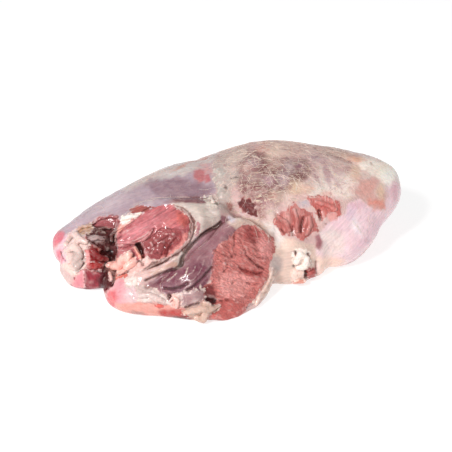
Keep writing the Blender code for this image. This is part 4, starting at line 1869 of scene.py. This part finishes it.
@dataclass(frozen=True)
class Tallow:
    """Soft fat: pale crumbs, with peach and pink in the hollows between them.

    A _span is the range of the noise that counts, a _shade or _share what it becomes.
    """

    crumbs: Texture = Texture(300, 6, 0.62, 200, 3 * MM)
    crumb_span: Span = (0.3, 0.7)
    crumb_shade: Span = (0.84, 1.14)
    peach_span: Span = (0.42, 0.26)
    peach_share: Span = (0.0, 0.35)
    peach: Colour = (206, 138, 124)
    height: float = 0.9

    def lay(self, sheet: Sheet, place: Socket, grain: Socket) -> tuple[Socket, Socket]:
        """Adds its nodes.

        Args:
            sheet: the material's nodes.
            place: the coordinates.
            grain: the coordinates along the fibres; not used.

        Returns:
            Its colour and its height.
        """
        crumbs = sheet.noise(place, self.crumbs)
        tallow = sheet.shade(sheet.mark("fat_tint", "Color"),
                             sheet.fit(crumbs, self.crumb_span, self.crumb_shade))
        peach = sheet.fit(crumbs, self.peach_span, self.peach_share)
        return sheet.blend(peach, tallow, light(self.peach)), sheet.times(crumbs, self.height)


@dataclass(frozen=True)
class MeatFinish:
    """Wet raw meat: tissues side by side, threads, painted shade in creases and hollows, painted highlight on
    ridges.

    A _span is the range of a mark or a noise that counts, a _share how much of the colour it
    takes. Reaches and the border are in pixels; relief and spread are in metres.
    """

    lean_fray: Texture = Texture(210, 4)
    fat_fray: Texture = Texture(300, 4, 0.6)
    fray_span: Span = (0.28, 0.72)
    lean_reach: float = 1.5
    fat_reach: float = 2.2
    border: Span = (-0.7, 0.8)
    wander: Texture = Texture(700, 3)
    wander_span: Span = (0.3, 0.7)
    wander_reach: Span = (-0.3, 0.3)
    # painted shade, multiplied in over the hollows and near the floor
    hollow_shade_span: Span = (0.12, 1.2)
    hollow_shade_share: Span = (0.0, 0.7)
    hollow_shade: tuple[float, float, float, float] = (0.42, 0.27, 0.26, 1.0)
    # painted highlight on the ridges, a little stronger on fat
    ridge_highlight_span: Span = (-0.05, -0.8)
    ridge_highlight_share: Span = (0.3, 0.45)
    ridge: Colour = (252, 232, 224)
    pale_span: Span = (0.0, 0.9)
    pale_share: Span = (0.0, 0.85)
    pale: Colour = (240, 218, 204)
    # painted shade along the creases, with some dark red lines of the tissue itself: grey on sheath, dark red
    # on lean, between the two on fat
    crease_shade_span: Span = (-0.1, 0.95)
    crease_shade_share: float = 0.72
    fat_shadow: float = 0.5
    grey: Colour = (88, 62, 58)
    red: Colour = (84, 22, 22)
    sunk: float = 1.2
    raised: float = 0.5
    relief: float = 1.0 * MM
    wet: Texture = Texture(170, 4)
    wet_span: Span = (0.3, 0.7)
    gloss: Span = (0.2, 0.46)
    dry_veil: float = 0.16
    coat: Span = (0.3, 0.04)
    blood: Triple = (1.0, 0.35, 0.25)
    spread: float = 2.5 * MM

    def material(self) -> bpy.types.Material:
        """Builds the material.

        Returns:
            The material.
        """
        sheet = Sheet("raw_veal_surface")
        place, grain = sheet.place(), sheet.mark("grain", "Vector")
        lean = self.inside(sheet, "lean", sheet.noise(place, self.lean_fray), self.lean_reach)
        fat = self.inside(sheet, "fat", sheet.noise(place, self.fat_fray), self.fat_reach)
        colour, height = Sheath().lay(sheet, place, grain)
        for tissue, share in ((Flesh(), lean), (Tallow(), fat)):
            own_colour, own_height = tissue.lay(sheet, place, grain)
            colour = sheet.blend(share, colour, own_colour)
            height = sheet.mix(share, height, own_height)
        # painted shade in the hollows and near the floor
        hollow_shade = sheet.mark("hollow_shade")
        depth = sheet.fit(hollow_shade, self.hollow_shade_span, self.hollow_shade_share)
        colour = sheet.blend(depth, colour, self.hollow_shade, "MULTIPLY")
        # painted highlight on the ridges
        ridge = sheet.times(sheet.fit(hollow_shade, self.ridge_highlight_span), sheet.fit(fat, UNIT, self.ridge_highlight_share))
        colour = sheet.blend(ridge, colour, light(self.ridge))
        wander = sheet.fit(sheet.noise(place, self.wander), self.wander_span, self.wander_reach)
        pale = sheet.fit(sheet.plus(sheet.mark("thread"), wander), self.pale_span, self.pale_share)
        colour = sheet.blend(pale, colour, light(self.pale))
        # painted shade along the creases, and the tissue's own dark red lines
        dark = sheet.fit(sheet.plus(sheet.mark("crease"), wander), self.crease_shade_span)
        shadow = sheet.blend(sheet.mix(fat, lean, self.fat_shadow), light(self.grey), light(self.red))
        colour = sheet.blend(sheet.times(dark, self.crease_shade_share), colour, shadow)
        height = sheet.reckon("SUBTRACT", height, sheet.times(dark, self.sunk))
        height = sheet.plus(height, sheet.times(pale, self.raised))
        sheet.bump(height, self.relief, 1.0)
        veil = sheet.mark("veil")
        wet = sheet.fit(sheet.noise(place, self.wet), self.wet_span, self.gloss)
        sheet.finish(
            Base_Color=colour,
            Roughness=sheet.plus(wet, sheet.times(veil, self.dry_veil)),
            IOR=1.4,
            Subsurface_Weight=0.2,
            Subsurface_Radius=self.blood,
            Subsurface_Scale=self.spread,
            Specular_IOR_Level=0.3,
            Coat_Weight=sheet.fit(veil, UNIT, self.coat),
            Coat_Roughness=0.1,
        )
        return sheet.material

    def inside(self, sheet: Sheet, name: str, cloud: Socket, reach: float) -> Socket:
        """Where a tissue is, its border frayed by noise.

        Args:
            sheet: the material's nodes.
            name: the mark of how far each point is inside it.
            cloud: the noise.
            reach: how far the border frays, in pixels.

        Returns:
            Its share, from 0 to 1.
        """
        frayed = sheet.plus(sheet.mark(name), sheet.fit(cloud, self.fray_span, (-reach, reach)))
        return sheet.fit(frayed, self.border)


@dataclass(frozen=True)
class ThreadFinish:
    """Dry pale strands, a little yellower in patches of noise."""

    cloud: Texture = Texture(260, 3)
    span: Span = (0.35, 0.65)
    thick: Colour = (220, 194, 178)
    thin: Colour = (240, 222, 208)
    rough_span: Span = (0.3, 0.7)
    rough: Span = (0.35, 0.6)
    relief: float = 0.1 * MM
    strength: float = 0.5

    def material(self) -> bpy.types.Material:
        """Builds the material.

        Returns:
            The material.
        """
        sheet = Sheet("sheath_threads")
        cloud = sheet.noise(sheet.place(), self.cloud)
        colour = sheet.blend(sheet.fit(cloud, self.span), light(self.thick), light(self.thin))
        sheet.finish(Base_Color=colour, Roughness=sheet.fit(cloud, self.rough_span, self.rough))
        sheet.bump(cloud, self.relief, self.strength)
        return sheet.material


@dataclass(frozen=True)
class Studio:
    """A plain white floor and soft studio light.

    Lengths are in metres.
    """

    floor_size: float = 8.0
    floor_drop: float = 0.2 * MM
    floor_glow: float = 0.68
    sky: float = 0.5
    key_place: Triple = (-0.6, -0.95, 1.05)
    key_aim: Triple = (0, 0, 0.04)
    key_size: float = 0.3
    key_power: float = 18.0

    def build(self) -> None:
        """Makes the floor, the lamp and the world."""
        self.lay_floor()
        self.hang_lamp()
        world = bpy.data.worlds.new("studio")
        world.use_nodes = True
        background = world.node_tree.nodes["Background"]
        background.inputs["Color"].default_value = (1, 1, 1, 1)
        background.inputs["Strength"].default_value = self.sky
        bpy.context.scene.world = world
        bpy.context.scene.view_settings.view_transform = "Standard"

    def lay_floor(self) -> None:
        """Lays the floor just under the piece."""
        mesh = bmesh.new()
        bmesh.ops.create_grid(mesh, x_segments=1, y_segments=1, size=self.floor_size / 2)
        bmesh.ops.translate(mesh, verts=mesh.verts, vec=(0, 0, -self.floor_drop))
        data = bpy.data.meshes.new("floor")
        mesh.to_mesh(data)
        mesh.free()
        floor = bpy.data.objects.new("floor", data)
        bpy.context.scene.collection.objects.link(floor)
        paint = Sheet("floor_paint")
        paint.finish(
            Base_Color=(0.5, 0.5, 0.5, 1),
            Roughness=1.0,
            Specular_IOR_Level=0.0,
            Emission_Color=(1, 1, 1, 1),
            Emission_Strength=self.floor_glow,
        )
        floor.data.materials.append(paint.material)

    def hang_lamp(self) -> None:
        """Hangs a square soft lamp that looks at the piece."""
        data = bpy.data.lights.new("key", "AREA")
        data.size = self.key_size
        data.energy = self.key_power
        lamp = bpy.data.objects.new("key", data)
        lamp.location = self.key_place
        lamp.rotation_mode = "QUATERNION"
        lamp.rotation_quaternion = (Vector(self.key_aim) - Vector(self.key_place)).to_track_quat("-Z", "Y")
        bpy.context.scene.collection.objects.link(lamp)


def main() -> None:
    """Builds the piece in its studio."""
    logging.basicConfig(level=logging.INFO, format="%(message)s")
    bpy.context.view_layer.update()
    noise.seed_set(NOISE_SEED)
    view = PhotoView()
    view.camera()
    Studio().build()
    meat = MeatBody()
    body = meat.build(view)
    scraps = meat.build_scraps(body, view)
    threads = Threads().build(body)
    raw = MeatFinish().material()
    for piece, material in ((body, raw), (scraps, raw), (threads, ThreadFinish().material())):
        piece.data.materials.append(material)
        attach(piece, "root")
        triangles = sum(len(face.vertices) - 2 for face in piece.data.polygons)
        logging.info("%s: %d points, %d triangles", piece.name, len(piece.data.vertices), triangles)
    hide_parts(NODE)
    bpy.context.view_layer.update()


if __name__ == "__main__":
    main()
